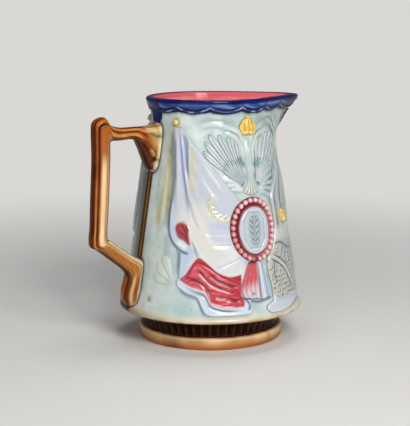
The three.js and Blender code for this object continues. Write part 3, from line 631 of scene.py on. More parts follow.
def drape():
    """A gathered cloth beside the pearls, with a red lobe, and red again where it meets its hem."""
    half = np.array(MEDALLION_HALF) + 2 * BEAD_RADIUS + SPRIG_GAP
    angle = np.linspace(*DRAPE_ARC, 80)[:, None] * math.pi
    arc = np.array(MEDALLION_CENTRE) + half * np.hstack([np.cos(angle), np.sin(angle)])
    foot = shifted(SEAM, 0, -TUCK)
    right = np.vstack([curve([*DRAPE_DIAGONAL, arc[0]], 80), arc, DRAPE_CORNER, foot[-1:]])
    columns, rows = 110, 170
    sides = curve(DRAPE_LEFT, rows), resample(right, rows)
    u, v = patch(curve(DRAPE_TOP, columns), curve(foot, columns), *sides)
    leaves = wreath(u, v)
    lobe = np.maximum.reduce([brush_line(u, v, *stroke) for stroke in LOBE])
    creases = soft_lines(u, v, LOBE_FOLDS, 0.8)
    hem = 1 - above_line(u, v, RED_TOP, 0.6, left=0, right=0)
    rise = DRAPE_RISE + ridges(u, v, DRAPE_FOLDS) + (0.8 - 0.5 * creases) * lobe + 0.6 * leaves
    coat = bare(u)
    paint(coat, smooth(55, 100, v), "#B9C0CE", 0.65)
    brush(coat, u, v, DRAPE_STROKES)
    paint(coat, lobe, "#B02B3A")
    paint(coat, lobe * creases, "#6E1420", 0.85)
    paint(coat, hem, "#AE2A39")
    paint(coat, leaves, "#E6DC96", 0.9)
    sprig("drape", "ivory_glaze", ivory, u, v, rise, coat, lip=2.6, drowned=0.35 * (1 - hem), depth=0.6)


HEM_EDGE = [(-71, 21), (-64, 15.5), (-54, 11.5), (-50.5, 3), (-46, -2.6), (-28, -3.2), (-7, -2.8)]
HEM_LEFT = [(-70, 27), (-72, 24), (-71, 21)]
HEM_RIGHT = [(-15, 22), (-16.4, 15), (-13, 9.6), (-7, 8), (-7, -2.8)]
RED_LOW = [(-66.5, 26), (-59.5, 21.5), (-48, 17.5), (-44.5, 12), (-41.5, 7), (-29, 3.8), (-14, 4.2)]
BORDER_CREASE = shifted(RED_LOW, -0.6, -3.0)
HOOK = [(-14.6, 12.4), (-11.4, 8.6), (-9.2, 5.0), (-10.4, 0.4)]
HEM_CREASES = [
    [(-66, 30), (-55, 27), (-46, 21), (-42, 12)],
    [(-52, 40), (-47, 30), (-38, 22), (-24, 17)],
    [(-44, 36), (-36, 27), (-24, 22), (-14, 21)],
    [(-42, 14), (-34, 13), (-22, 10), (-14, 9)],
]


def drape_hem():
    """The cloth's red hem with a pale border, and a hook of glaze at its end."""
    columns, rows = 140, 56
    sides = curve(HEM_LEFT, rows), curve(HEM_RIGHT, rows)
    u, v = patch(curve(SEAM, columns), curve(HEM_EDGE, columns), *sides)
    s, t = grid(columns, rows)
    ends = (1 - smooth(-0.6, 0.6, u + 13.6 - 0.15 * (v - 10))) * smooth(-68, -66.6, u)
    red = above_line(u, v, RED_LOW, 0.5) * ends
    pale = 1 - red
    creases = soft_lines(u, v, HEM_CREASES, 1.5)
    weave = np.sin(FULL_TURN * (8 * t + 3 * s + 0.5 * np.sin(6 * s + 4 * t)))
    weave *= np.sin(FULL_TURN * (3.3 * s - 1.4 * t)) * 0.6 + 0.4
    hook = soft_line(u, v, HOOK, 1.1, 0.1)
    rise = 1.9 - 0.9 * creases * red + 0.1 * weave * red - 0.6 * hook
    rise += 0.5 * soft_line(u, v, RED_LOW, 1.4) - 0.7 * soft_line(u, v, BORDER_CREASE, 1.4)
    coat = bare(u)
    paint(coat, red * np.clip(weave, 0, 1), "#E08088", 0.75)
    paint(coat, red * creases, "#7E1522", 0.75)
    paint(coat, pale, "#D2DEEC")
    paint(coat, pale * soft_line(u, v, BORDER_CREASE, 2.0), "#9DB3CE", 0.75)
    paint(coat, soft_line(u, v, RED_LOW, 0.8), "#F0D9D6", 0.6)
    paint(coat, hook, "#4C6288", 0.8)
    sprig("drape_hem", "carmine_glaze", carmine, u, v, rise, coat, lip=2.2)


LEAF_PAIRS = [(-12.0, 4.6), (-7.2, 6.0), (-2.2, 6.6), (2.8, 6.0), (7.6, 4.4)]  # foot and reach
LEAF_HALF_WIDTH = 1.15
FACET_HALF, FACET_CORNER = (11.4, 16.6), 1.52


def leaf_mask(u, v, base, tip):
    """A soft oval leaf from its base to its tip."""
    middle, span = (base + tip) / 2, (tip - base) / 2
    along = ((u - middle[0]) * span[0] + (v - middle[1]) * span[1]) / (span @ span)
    across = ((v - middle[1]) * span[0] - (u - middle[0]) * span[1]) / math.sqrt(span @ span)
    return 1 - smooth(0.7, 1.1, np.hypot(along, across / LEAF_HALF_WIDTH))


def rear_side(angle):
    """1 on the side of the medallion towards the cloth, where the red shows deepest."""
    return np.clip(0.5 - np.cos(angle + 0.6), 0, 1)


def medallion():
    """An oval plaque with an eight-sided inner border round an upright leaf spray."""
    u, v, share = disc(MEDALLION_HALF, 72)
    wide, tall = np.abs(u) / FACET_HALF[0], np.abs(v) / FACET_HALF[1]
    facet = np.maximum.reduce([wide, tall, (wide + tall) / FACET_CORNER])
    border = bell(facet - 1, 0.06)
    spray = soft_line(u, v, [(0, -15), (0, 0), (0, 15)], 0.7, 0.08)
    for foot, reach in LEAF_PAIRS:
        for side in (-1, 1):
            base = np.array([side * 0.8, foot])
            tip = np.array([side * reach * 0.9, foot + reach * 0.75])
            spray = np.maximum(spray, leaf_mask(u, v, base, tip))
    inside = 1 - smooth(0.9, 1.0, facet)
    rise = 1.5 + 0.45 * border - 0.3 * inside + 0.6 * spray + 0.4 * bell(share - 0.95, 0.04)
    beside = np.clip(settled(spray, 6) * 1.6 - spray, 0, 1)
    rear = rear_side(np.arctan2(v, u))
    coat = bare(u)
    paint(coat, np.ones_like(u), "#C8D1DC", 0.8)
    paint(coat, inside, "#BCC9CB", 0.7)
    # Painted shade round the raised leaf spray
    paint(coat, beside * inside, "#4E5A60", 0.9)
    paint(coat, border, "#D9E0E6", 0.6)
    paint(coat, spray, "#AEBABC", 0.7)
    paint(coat, smooth(0.9, 0.94, share) * rear, "#941626", 0.95)
    paint(coat, smooth(0.93, 0.97, share) * (1 - rear), "#D9A6AE", 0.7)
    u, v = u + MEDALLION_CENTRE[0], v + MEDALLION_CENTRE[1]
    sprig("medallion", "ivory_glaze", ivory, u, v, rise, coat, lip=1.4)


CHANNEL_RISE = 0.7
PEARL_SHAPE = (0.88, 0.84)  # a pearl along and across the channel, as shares of its bead's room


def bead_frame():
    """A dark red channel round the medallion with a row of pearls in it."""
    per_bead, across = 14, 17
    columns = BEADS * per_bead
    count = np.arange(columns)
    middle = [h + SPRIG_GAP + BEAD_RADIUS for h in MEDALLION_HALF]
    fine = np.linspace(0, FULL_TURN, 4000)
    steps = np.hypot(np.diff(middle[0] * np.cos(fine)), np.diff(middle[1] * np.sin(fine)))
    run = np.concatenate([[0], np.cumsum(steps)])
    angle = np.interp(count / columns * run[-1], run, fine)[:, None]
    along = (count / per_bead % 1 - 0.5)[:, None] * run[-1] / BEADS
    bead = np.floor(count / per_bead)[:, None]
    out = np.linspace(-1, 1, across)[None, :] * BEAD_RADIUS
    u = MEDALLION_CENTRE[0] + (middle[0] + out) * np.cos(angle)
    v = MEDALLION_CENTRE[1] + (middle[1] + out) * np.sin(angle)
    reach = np.hypot(along / PEARL_SHAPE[0], (out - PEARL_SHIFT) / PEARL_SHAPE[1]) / BEAD_RADIUS
    pearl = np.sqrt(np.clip(1 - reach**2, 0, 1))
    rise = CHANNEL_RISE * rounded(BEAD_RADIUS - np.abs(out), 1.2) + (BEAD_RISE - CHANNEL_RISE) * pearl
    rear, share = rear_side(angle), out / BEAD_RADIUS
    outer = (1 - pearl) * smooth(0.2, 0.7, share)
    thinned = (1 - 0.6 * np.clip(np.cos(angle - 3.6), 0, 1)) * (0.8 + 0.2 * np.sin(2.4 * bead))
    coat = bare(u)
    paint(coat, 1 - smooth(0.0, 0.4, pearl), "#A02030", 0.9)
    paint(coat, (1 - smooth(-0.6, -0.3, share)) * rear, "#941626", 0.9)
    paint(coat, (1 - smooth(-0.6, -0.2, share)) * (1 - rear), "#D79AA2", 0.7)
    paint(coat, outer, "#5A2232", 0.8)
    # Painted shade: grey between the pearls on the side turned from the light
    paint(coat, outer * np.clip(np.cos(angle), 0, 1), "#7E8686", 0.7)
    paint(coat, smooth(0.2, 0.55, pearl), "#E59A9A", 0.95)
    paint(coat, smooth(0.2, 0.6, pearl) * np.clip(np.cos(angle - 3.7), 0, 1), "#C8485A", 0.6)
    paint(coat, smooth(0.6, 0.95, pearl) * thinned, "#FAE0D8", 0.9)
    paint(coat, soft_line(u, v, [(-3.4, 42.6), (0, 42), (3.4, 42.6)], 3.2), "#7E1020", 0.95)
    pool = 0.5 * np.clip(1 - pearl * 2.5, 0, 1)
    gather(u, v, rise)
    edges = [-1, 0]
    faces = ring_faces(columns, across + len(edges))
    shades = [np.concatenate([x, x[:, edges]], 1) for x in (coat, pool)]
    for side, site in SIDES:
        back = on_wall(site, u[:, edges], v[:, edges], -SINK)
        points = np.concatenate([on_wall(site, u, v, rise), back], 1)
        name = f"{side}_bead_frame"
        piece(f"{name}_glazed", [name], "carmine_glaze", [carmine], points, faces, *shades)


def fan(root, inner, start, end, lengths, mirrored, blade_columns, rows):
    """Blades that fan out from a root: a grid of u, v, the share across a blade and along it."""
    blades = len(lengths)
    s, t = grid(blades * blade_columns + 1, rows)
    across = (s * blades) % 1 * 2 - 1
    lobe = np.abs(np.sin(math.pi * blades * s))
    reach = np.interp(s[0], np.linspace(0, 1, 80), curve(list(enumerate(lengths)), 80)[:, 1])
    angle = np.radians(start + (end - start) * s)
    along = inner + (reach[None, :] * (0.8 + 0.2 * lobe**0.7) - inner) * t
    return mirrored * (root[0] + along * np.cos(angle)), root[1] + along * np.sin(angle), across, t


# Fans: the root, where blades start from it, the angles of both ends, and the blades' lengths
WING = ((5, 101), 6, 86, 39, [40, 48, 54, 56, 53, 46])
SPRAY = ((-73.4, 20.6), 2, 96, 178, [26.5, 26, 23])
TEAL_POOLS = [
    [(-10, 130), (-5, 124), (-3, 119)],
    [(14, 128), (10, 124), (6.4, 119)],
    [(-4, 116), (-6, 108), (-8, 102)],
    [(7, 116), (9, 108), (11, 102)],
]


def wing(name, mirrored):
    """A wing of broad feathers with two rows of shorter ones over their roots."""
    root, *shape = WING
    root = (root[0] + mirrored * MEDALLION_CENTRE[0], root[1])
    u, v, across, t = fan(root, *shape, mirrored, 18, 70)
    vane = np.clip(1 - (0.97 * across) ** 2, 0, 1) ** 0.45
    narrow = (across + 1) % 1 * 2 - 1
    feather = np.clip(1 - (0.95 * narrow) ** 2, 0, 1) ** 0.5
    coverts = 1 - smooth(0.36, 0.44, t - 0.07 * feather)
    short = 1 - smooth(0.16, 0.22, t - 0.05 * vane)
    rise = 0.3 + 0.9 * vane + 0.5 * feather + 0.5 * coverts + 0.4 * short
    coat = bare(u)
    paint(coat, np.ones_like(u), "#AEBABE", 0.7)
    paint(coat, feather**3, "#DCE2E2", 0.5)
    paint(coat, (1 - feather) ** 1.4, "#4E6466", 0.85)
    paint(coat, bell(t - 0.07 * feather - 0.42, 0.03), "#7A9492", 0.6)
    paint(coat, sum(soft_line(u, v, line, 3) for line in TEAL_POOLS[:2]), "#4E8788", 0.8)
    sprig(name, "ash_glaze", ash, u, v, rise, coat, lip=2.4, drowned=0.7, depth=0.3)


PLUME_LEFT = [(-2.4, 144), (-3.6, 125), (-3.2, 108), (-9, 99)]
PLUME_FOOT = [(-9, 99), (0, 96.4), (9, 99)]


def plume():
    """An upright stem between the wings, which spreads to a ribbed foot."""
    columns, rows = 64, 90
    right = [(-u, v) for u, v in PLUME_LEFT]
    top = curve([PLUME_LEFT[0], right[0]], columns)
    u, v = patch(top, curve(PLUME_FOOT, columns), curve(PLUME_LEFT, rows), curve(right, rows))
    s, t = grid(columns, rows, -1.0)
    rib = np.abs(np.sin(2.5 * math.pi * (s + 1)))
    stem = np.sqrt(1 - (0.95 * s) ** 2) * (1 - t) + (0.3 + 0.9 * rib) * t
    rise = (0.6 + 1.3 * stem) * (0.35 + 0.65 * smooth(0, 0.25, t))
    teal = smooth(0.5, 1.0, np.abs(s)) * smooth(0.2, 0.45, t) * (1 - smooth(0.8, 1.0, t))
    foot = smooth(0.7, 0.95, t)
    coat = bare(u)
    paint(coat, teal, "#5E9192", 0.7)
    paint(coat, foot * rib, "#E2DCC6", 0.7)
    paint(coat, foot * (1 - rib) ** 2, "#5C5C48", 0.7)
    sprig("plume", "ash_glaze", ash, u + MEDALLION_CENTRE[0], v, rise, coat, lip=2.2, drowned=0.6)


DOME_FOOT, DOME_SHIFT = 147, 2.0
DOME_OUTLINE = [(6.0, 0), (9.1, 6.2), (6.0, 11.6), (1.8, 13.6), (2.4, 15.2), (1.0, 17.2)]


def gold_dome():
    """A ribbed dome with a knob on top and a band round its foot."""
    outline = curve(DOME_OUTLINE, 60)
    s = np.linspace(-1, 1, 60)[None, :]
    u = MEDALLION_CENTRE[0] + DOME_SHIFT + s * outline[:, :1]
    v = DOME_FOOT + outline[:, 1:] + 0 * s
    rib = np.abs(np.sin(FULL_TURN * (s + 1))) + 0 * v
    band = bell(v - DOME_FOOT - 1.6, 1.3)
    rise = 0.9 + 1.9 * np.sqrt(1 - (0.9 * s) ** 2) * (0.7 + 0.3 * rib) + 0.5 * band
    coat = bare(u)
    paint(coat, (1 - rib) ** 2 * (1 - band), "#A8741C", 0.7)
    sprig("gold_dome", "gold_glaze", gold, u, v, rise, coat, lip=1.4)


# Knobs: name, centre, half sizes, rise and mesh columns
KNOBS = [
    ("finial", (-61, 157.6), (3, 3.2), 2.0, 28),
    ("gold_acorn", (39.5, 75), (4.0, 6.8), 4.6, 32),
]


def gold_knob(name, centre, half, rise, count):
    """A round knob with a groove below its tip."""
    u, v, share = disc(half, count)
    rise = 0.8 + rise - 0.4 * bell(v / half[1] - 0.25, 0.14)
    coat = bare(u)
    paint(coat, smooth(0.5, 0.9, share), "#B9B064", 0.7)
    sprig(name, "gold_glaze", gold, u + centre[0], v + centre[1], rise, coat, lip=0.8 * min(half))


RIBBON_REAR = (
    [(-6.4, 40.6), (-8.4, 36.6), (-11, 29.4), (-14.2, 22), (-15.4, 15.6), (-12.8, 10.4)],
    [(1.2, 40.6), (2.2, 25), (2.3, 8.4)],
)
RIBBON_FORE = (
    [(1.8, 40.6), (2.9, 25), (3.0, 7.4)],
    [(7.6, 40), (10.4, 30), (13.4, 19), (16.4, 9.6)],
)
RIBBON_SHADE = "#3A5078"  # blue-grey glaze along the cut ends


def ribbon(sides, folds):
    """A ribbon's grid between its side lines, its pleated relief and its streaks."""
    columns, rows = 56, 80
    ends = [curve([side[k] for side in sides], columns) for k in (0, -1)]
    u, v = patch(*ends, *[curve(side, rows) for side in sides])
    s, t = grid(columns, rows)
    pleat = np.sin(math.pi * folds * s) ** 2
    streak = 0.5 + 0.5 * np.sin(FULL_TURN * (folds * 3 * s + 0.3 * np.sin(9 * t)))
    return u, v, s, t, 0.9 + (0.5 + 0.9 * t) * pleat + 0.12 * streak, streak


def ribbons():
    """Two ribbon ends under the medallion: a red one that pales to its foot, and a white one."""
    u, v, s, t, rise, streak = ribbon(RIBBON_REAR, 4)
    coat = bare(u)
    paint(coat, 0.3 + 0.7 * streak * (1 - 0.4 * t), "#E0767C", 0.6)
    paint(coat, 1 - smooth(0.02, 0.1, t), "#7E1020", 0.9)
    paint(coat, smooth(0.55, 0.95, t + 0.2 * (s - 0.5) + 0.18 * streak), "#E4DEE6", 0.95)
    paint(coat, bell(u + 4.6, 1.2) * bell(v - 14, 1.6), "#B02B3A", 0.9)
    paint(coat, smooth(0.955, 0.985, t), RIBBON_SHADE, 0.9)
    sprig("ribbon_rear", "carmine_glaze", carmine, u, v, rise, coat, lip=1.4)
    u, v, s, t, rise, streak = ribbon(RIBBON_FORE, 2)
    coat = bare(u)
    paint(coat, 0.4 + 0.6 * streak, "#B4C6E0", 0.85)
    paint(coat, within(s, 0.2, 0.48, 0.08), "#EEF1F2", 0.85)
    paint(coat, bell(s - 0.62, 0.07), "#6E86B0", 0.7)
    paint(coat, 1 - smooth(0.0, 0.14, s), "#7A2A42", 0.7)
    paint(coat, smooth(0.955, 0.985, t), RIBBON_SHADE, 0.9)
    sprig("ribbon_fore", "ivory_glaze", ivory, u, v, rise, coat, lip=1.4)


BANNER_TOP = [(47, 129), (64, 129)]
BANNER_LEFT = [
    (47, 129), (36, 113), (27.5, 101), (23.4, 92), (25, 82), (26.2, 66), (22, 51), (14, 42.6),
    (12.8, 36), (14, 28), (16.8, 16), (17.4, 8), (15.8, 4.6), (11.4, 3), (8.6, 0.8), (9.4, -2.4),
]
BANNER_RIGHT = [(64, 129), (70, 106), (75, 70), (73, 40), (70, 0)]
BANNER_FOOT = [(9.4, -2.4), (14, -4.6), (29, -4.6), (48, -2.6), (70, 0)]
BANNER_PLEATS = 7
BANNER_ARCH = [(21, 52), (31.4, 53), (43, 48), (56, 44)]
BANNER_BAND = [(14.6, 44.6), (25, 39.4), (36.6, 31.6), (45, 20), (54, 9)]
BAND_EDGES = [
    [(16.9, 46.4), (25.4, 41.6), (37.4, 33.8), (46.6, 21.4), (56, 10)],
    [(13.4, 42.2), (24.4, 37.0), (35.6, 29.2), (43.4, 18.8), (52, 8)],
]
BANNER_CREASES = [
    [(22, 42), (20.6, 30), (22.6, 18)],
    [(60, 60), (64, 40), (66, 20)],
]


def wavy(*phases):
    """Soft waves, 0 to 1, one for each phase."""
    return [0.5 + 0.5 * np.sin(FULL_TURN * phase) for phase in phases]


def banner():
    """A long cloth: pleats down to a gathered arch, and below it a creased hanging with a border."""
    columns, rows = 150, 210
    sides = curve(BANNER_LEFT, rows), curve(BANNER_RIGHT, rows)
    u, v = patch(curve(BANNER_TOP, columns), curve(BANNER_FOOT, columns), *sides)
    s, t = grid(columns, rows)
    upper, lower = smooth(57, 70, v), 1 - smooth(46, 53, v)
    swing = BANNER_PLEATS * (s + 0.05 * np.sin(11 * s + 2 * t)) + 0.4 * np.sin(3 * t + 2 * s)
    pleat = upper * (0.5 + 0.5 * np.cos(FULL_TURN * swing)) ** 0.6
    slant, cross, fall = wavy(
        (v - 0.9 * u) / 5.6 + 0.45 * np.sin(0.23 * u + 0.31 * v) + 0.3 * np.sin(0.47 * u - 0.19 * v),
        (v + 0.15 * u) / 3.9 + 0.4 * np.sin(0.37 * u + 0.11 * v) + 0.25 * np.sin(0.7 * u + 0.3 * v),
        (u + 0.43 * v) / 5 + 0.4 * np.sin(0.2 * v) + 0.3 * np.sin(0.4 * v + 0.3 * u),
    )
    vein, streak = 0.62 * slant + 0.38 * cross, 0.75 * fall + 0.25 * cross
    uneven = 0.85 + 0.15 * np.sin(0.23 * u - 0.2 * v + 2 * np.sin(0.11 * v))
    broken = np.clip(0.4 + np.sin(0.62 * u + 0.5 * v + 2 * np.sin(0.47 * v)), 0, 1)
    band = soft_line(u, v, BANNER_BAND, 1.9, 0.2)
    arch = soft_line(u, v, BANNER_ARCH, 1.2, 0.15)
    lines = np.maximum(soft_lines(u, v, BAND_EDGES, 0.7, 0.2), 0.8 * arch)
    creases = soft_lines(u, v, BANNER_CREASES, 1.1, 0.2)
    hem = 1 - smooth(-0.7, 0.7, v - 6.4 - 5 * bell(u - 15, 5))
    open_cloth = 1 - hem
    far = lower * smooth(46, 54, u + 0.43 * v)
    near = lower * (1 - far) * open_cloth * (1 - band)
    cloth = 0.9 * pleat + 0.5 * (1 - upper) + 0.5 * vein * near + 0.6 * streak * far * open_cloth
    cloth += 1.3 * within(v, 72, 112, 14) * smooth(0.25, 0.6, s)
    dip = bell(u - 36, 4) * bell(v - 75, 8)
    rise = 1.4 + cloth + 0.7 * band + 0.3 * hem - 0.5 * np.maximum(lines, creases) * open_cloth - dip
    rise = rise * (0.3 + 0.7 * smooth(0, 0.14, t))
    coat = bare(u)
    paint(coat, np.ones_like(u), "#C2C5C4", 0.75)
    paint(coat, (upper - pleat) ** 1.2 * uneven, "#5E686E", 0.85)
    paint(coat, within(v, 56, 66, 3), "#E2E3E0", 0.7)
    paint(coat, (1 - smooth(-4, 9, u - 0.45 * (v - 40))) * upper, "#BCC1DE", 0.65)
    paint(coat, near, "#CCCABF", 0.6)
    paint(coat, smooth(0.5, 0.95, 1 - vein) * near * (0.5 + 0.5 * broken), "#7E7C72", 0.75)
    paint(coat, smooth(0.45, 0.95, 1 - streak) * far * open_cloth * uneven, "#5A646A", 0.8)
    paint(coat, band * open_cloth, "#D4D7D8", 0.7)
    paint(coat, lines * open_cloth, "#666C70", 0.75)
    paint(coat, creases * open_cloth, "#6A7276", 0.6)
    paint(coat, hem, "#D4DAE4", 0.85)
    paint(coat, hem * (1 - smooth(0, 2, np.abs(v - 6 + 0.04 * u))), "#A9B6D0", 0.5)
    sprig("banner", "ash_glaze", ash, u, v, rise, coat, lip=2.0, drowned=0.2, depth=0.3)


def leaf_spray():
    """Three low leaves at the foot of the drape."""
    u, v, across, t = fan(*SPRAY, 1, 22, 50)
    blade = np.sqrt(np.clip(1 - (0.95 * across) ** 2, 0, 1))
    rise = 0.1 + 0.9 * blade * np.sin(math.pi * t**0.8) ** 0.7 - 0.25 * bell(across, 0.2) * t
    coat = bare(u)
    paint(coat, blade * smooth(0.2, 0.6, t), "#DDE3D2", 0.8)
    paint(coat, (1 - blade) ** 2, "#93AC9E", 0.7)
    paint(coat, 1 - smooth(0.1, 0.5, t), "#AEC4B4", 0.7)
    sprig("leaf_spray", "celadon_glaze", celadon, u, v, rise, coat, lip=4.0, drowned=0.8)


# Pieces about the axis

# Brushed colours on the ground beside the sprigs
STREAKS = [
    ([(-86, 160), (-95, 104), (-102, 50)], 12.0, "#DDE6E3", 0.9),
    ([(-90, 150), (-97, 104), (-101, 60)], 3.0, "#EDF1EC", 0.8),
    ([(-84, 120), (-91, 84), (-95, 46)], 4.0, "#E6ECE8", 0.7),
    ([(-96, 60), (-90, 30), (-84, 0)], 11.0, "#DCE7E4", 0.8),
    ([(-64, 158), (-66.8, 144), (-69, 132), (-70.4, 120), (-71.8, 106), (-75, 90), (-79, 66)],
     3.4, "#A3A156", 1.0),
    ([(-72, 124), (-77, 103), (-81.7, 90.7), (-85.7, 80), (-88, 62)], 2.8, "#BDB05C", 0.95),
    ([(-70, 128), (-75.4, 106), (-79, 88), (-83, 68)], 2.2, "#EEEBD2", 0.7),
    ([(-80, 128), (-86, 100), (-90, 78)], 3.0, "#A4BDB6", 0.6),
    ([(-101.2, 10), (-101.8, 3)], 2.4, "#8C7A46", 0.85),
    ([(-70, 4), (-56, -2), (-40, -6)], 4.0, "#A9CDC8", 0.6),
    ([(-92, 34), (-84, 24), (-76, 8)], 5.0, "#A6CCC0", 0.5),
    ([(-13.4, 34), (-15, 24), (-15.8, 16), (-14, 11)], 2.0, "#C2505A", 0.9),
    ([(-61.5, 161), (-61, 155), (-63, 148)], 3.4, "#CFC888", 0.7),
]
SPECKS = [(-83.7, 104.3), (-93.3, 44.6), (-88.0, 52.0), (-60.0, 2.0), (-108.0, 88.0)]
SPECK = 0.6
# Blue that ran down beside the spout, as distance from its line and height
THROAT_BLUES = [
    ([(11, 216), (9.0, 202), (7.8, 190), (6.8, 172)], 1.9, "#8997CC", 0.9, 0.45),
    ([(14.4, 214), (12.0, 202), (10.2, 191), (9.0, 178)], 1.2, "#2C3A80", 0.8, 0.45),
]
OUTLINE = "#5E788C"  # blue-grey glaze that settled along the lower edges of the cloth
CLOTH_OUTLINES = [
    (shifted(DRAPE_LEFT, -1.2, 0), 1.4, OUTLINE, 0.8, 0.1),
    (shifted(HEM_EDGE, -0.6, -1.2), 1.4, OUTLINE, 0.8, 0.08),
]
# Runs of pooled ground glaze, as (line, width, cover)
POOLS = [
    ([(-80, 150), (-84, 124)], 4, 0.3),
    ([(-79, 66), (-79, 52), (-84, 34)], 3, 0.25),
    ([(-44, 162), (-20, 160), (-2, 156)], 3, 0.3),
    ([(10, 160), (34, 157)], 4, 0.3),
]
# Low folds pressed in the wall round the wings and the banner
WALL_FOLDS = [
    ([(30, 153), (40, 144), (50, 132), (56, 118), (58, 104)], 2.2, 1.5),
    ([(38, 158), (47, 148), (56, 136), (62, 122), (65, 106)], 2.6, 2.1),
    ([(46, 162), (54, 150), (62, 138), (67, 124), (70, 108)], 2.6, 1.9),
    ([(24, 96), (27, 88), (27, 80)], 1.6, 0.8),
    ([(76, 70), (78, 40), (75, 0)], 2.4, 1.0),
    ([(-5, 104), (-14, 108.4), (-25, 112)], 1.5, 1.0),
    ([(-5, 102.6), (-13, 105), (-21, 107)], 1.4, 0.9),
    ([(-6, 101), (-12, 102), (-18, 102.4)], 1.3, 0.9),
    ([(8, 104), (22, 109), (38, 113)], 1.6, 1.0),
    ([(8, 102.6), (22, 105), (36, 105)], 1.6, 1.0),
    ([(8, 101), (20, 101), (32, 98)], 1.6, 1.0),
    ([(9, 99.5), (18, 97.4), (28, 91)], 1.6, 0.9),
    ([(-1, 136), (-6, 149), (-16, 154), (-30, 157), (-44, 152)], 1.9, 1.0),
    ([(-3, 132), (-9, 145), (-20, 150)], 1.5, 0.8),
    ([(4, 136), (9, 149), (19, 154), (33, 157), (47, 152)], 1.9, 1.0),
    ([(6, 132), (12, 145), (23, 150)], 1.5, 0.8),
    ([(-48, 160), (-30, 163), (-8, 160)], 1.8, 0.5),
    ([(11, 160), (33, 163), (50, 160)], 1.8, 0.5),
]
# Shades between those folds
FOLD_SHADES = [
    ([(34, 155.5), (43.5, 146), (53, 134), (59, 120), (61.5, 105)], 1.4, "#59616C", 0.85),
    ([(42, 160), (50.5, 149), (59, 137), (64.5, 123), (67.5, 107)], 1.4, "#8A8DBC", 0.85),
    ([(33, 110), (29.4, 100), (24, 92), (22, 86)], 1.2, "#5C646C", 0.85),
    ([(23.6, 105), (18.8, 98.5), (16.8, 92)], 3.2, "#BFC5DC", 0.85),
    ([(28, 104), (24, 95), (22, 88)], 1.0, "#C9C4B4", 0.85),
    ([(40, 124), (31, 112), (25, 104)], 1.0, "#6C7A80", 0.85),
    ([(10, 44), (9.6, 46.4), (14, 48)], 2.0, "#8A9090", 0.85),
]
# Dark lines under the ribbons' ends and along the banner's foot
HOOKS = [
    [(-15.6, 12.4), (-13.4, 9.6), (-10, 8.6), (-5.0, 7.4), (2.6, 6.4), (16.3, 8.4)],
    [(16.3, 9.4), (19.6, 7.6), (18.4, 3.6), (12.0, 1.4), (8.6, -2)],
    [(8.6, -2), (14.6, -6), (30, -5.4), (48, -3), (70, -1)],
]
BORDER_CUSP, BORDER_LOW = 5.4, 7.6  # the border below the wall's top edge
LINE_CUSP, LINE_LOW, LINE_WIDTH = 1.8, 6.0, 0.5
LIP_INSET, LIP_HEIGHT, LIP_FLARE, LIP_EDGE, LIP_LIFT = 0.06, 2.2, 2.2, 0.4, 1.3
TAB_SPREAD, TAB_RISE = 1.15, 12


def hanging(turn, cusp, low):
    """Height of a scalloped line that hangs from the wall's top edge."""
    return WALL_TOP - cusp - (low - cusp) * np.abs(np.sin(turn * SCALLOPS / 2)) ** 0.8


def border_foot(turn):
    """Lowest point of the hanging border, with a tab over the handle."""
    wobble = 0.25 * np.sin(17 * turn + 2 * np.sin(5 * turn))
    scalloped = hanging(turn, BORDER_CUSP, BORDER_LOW) + wobble
    across = from_handle_line(turn) / (TAB_HALF_ANGLE * TAB_SPREAD)
    tab = PAD_TOP + SLIP + TAB_RISE * (1 - np.sqrt(np.clip(1 - across**4, 0, 1)))
    return np.where(across < 1, np.minimum(tab, scalloped), scalloped)


def flange_paint(coat, height, turn):
    """Cream and brown stains that crept up over the flange, browner near the handle, and painted shade
    that makes it darkest beside the handle on its far side.
    """
    patchy = 0.6 + 0.4 * np.sin(9 * turn + 2 * np.sin(4 * turn)) * np.sin(5 * turn + 1)
    stained = np.clip(np.sin(13 * turn + 3 * np.sin(5 * turn)), 0, 1)
    near_handle = bell(from_handle_line(turn), 0.5)
    painted_shade_by_handle = near_handle * smooth(-0.1, 0.15, np.sin(turn))
    creeps_and_shade = [
        (31, 37, 1, "#E9E4CC", 0.7),
        (29.0, 32.4, patchy, "#D6AE6C", 0.9),
        (28.4, 31.0, stained, "#A87434", 0.6),
        (30, 36, near_handle, "#9C8650", 0.8),
        # Painted shade on the flange beside the handle, on its far side
        (30, 38, painted_shade_by_handle, "#4A3A20", 0.85),
        (27.6, 29.2, 1, "#6A3A16", 0.8),
    ]
    for low, high, where, code, cover in creeps_and_shade:
        paint(coat, (1 - smooth(low, high, height)) * where, code, cover)


# Where the handle's pad and tongue meet the wall, as distance from its line and height
PAD_OUTLINE = [(0, 194), (7, 192.5), (10.8, 186), (11.2, 172), (10.8, 158), (7, 151.5), (0, 149.6)]
TONGUE_OUTLINE = [(0, 76), (6, 75), (8.6, 68), (8.6, 56), (7.6, 44), (4.6, 36), (0, 34)]


def handle_shade(coat, height, turn):
    """Painted shade on the wall behind the handle, on its far side; a dark brown band beside its strip;
    and dark lines round its pad and tongue, pooled glaze with painted shadow.
    """
    aside, pad_foot = from_handle_line(turn) * wall_radius(height), PAD_TOP - PAD_HEIGHT
    shaded = smooth(0, 0.02, np.sin(turn)) * (1 - smooth(-2, 2, height - pad_foot))
    low = shaded * (1 - smooth(38, 60, height))
    # Painted shade on the far side of the handle, darker still towards the flange
    paint(coat, shaded * (1 - smooth(10, 32, aside)), "#56615E", 0.85)
    paint(coat, low * (1 - smooth(20, 34, aside)), "#3A3222", 0.85)
    paint(coat, within(height, STRUT_SEAT, pad_foot, 2) * (1 - smooth(3.2, 4.6, aside)), "#2C1C0E", 0.9)
    # Dark lines where the pad and tongue meet the wall: pooled glaze and painted shadow
    outlines = [(line, 1.5, "#1A1710", 0.9, 0) for line in (PAD_OUTLINE, TONGUE_OUTLINE)]
    brush(coat, aside, height, outlines)


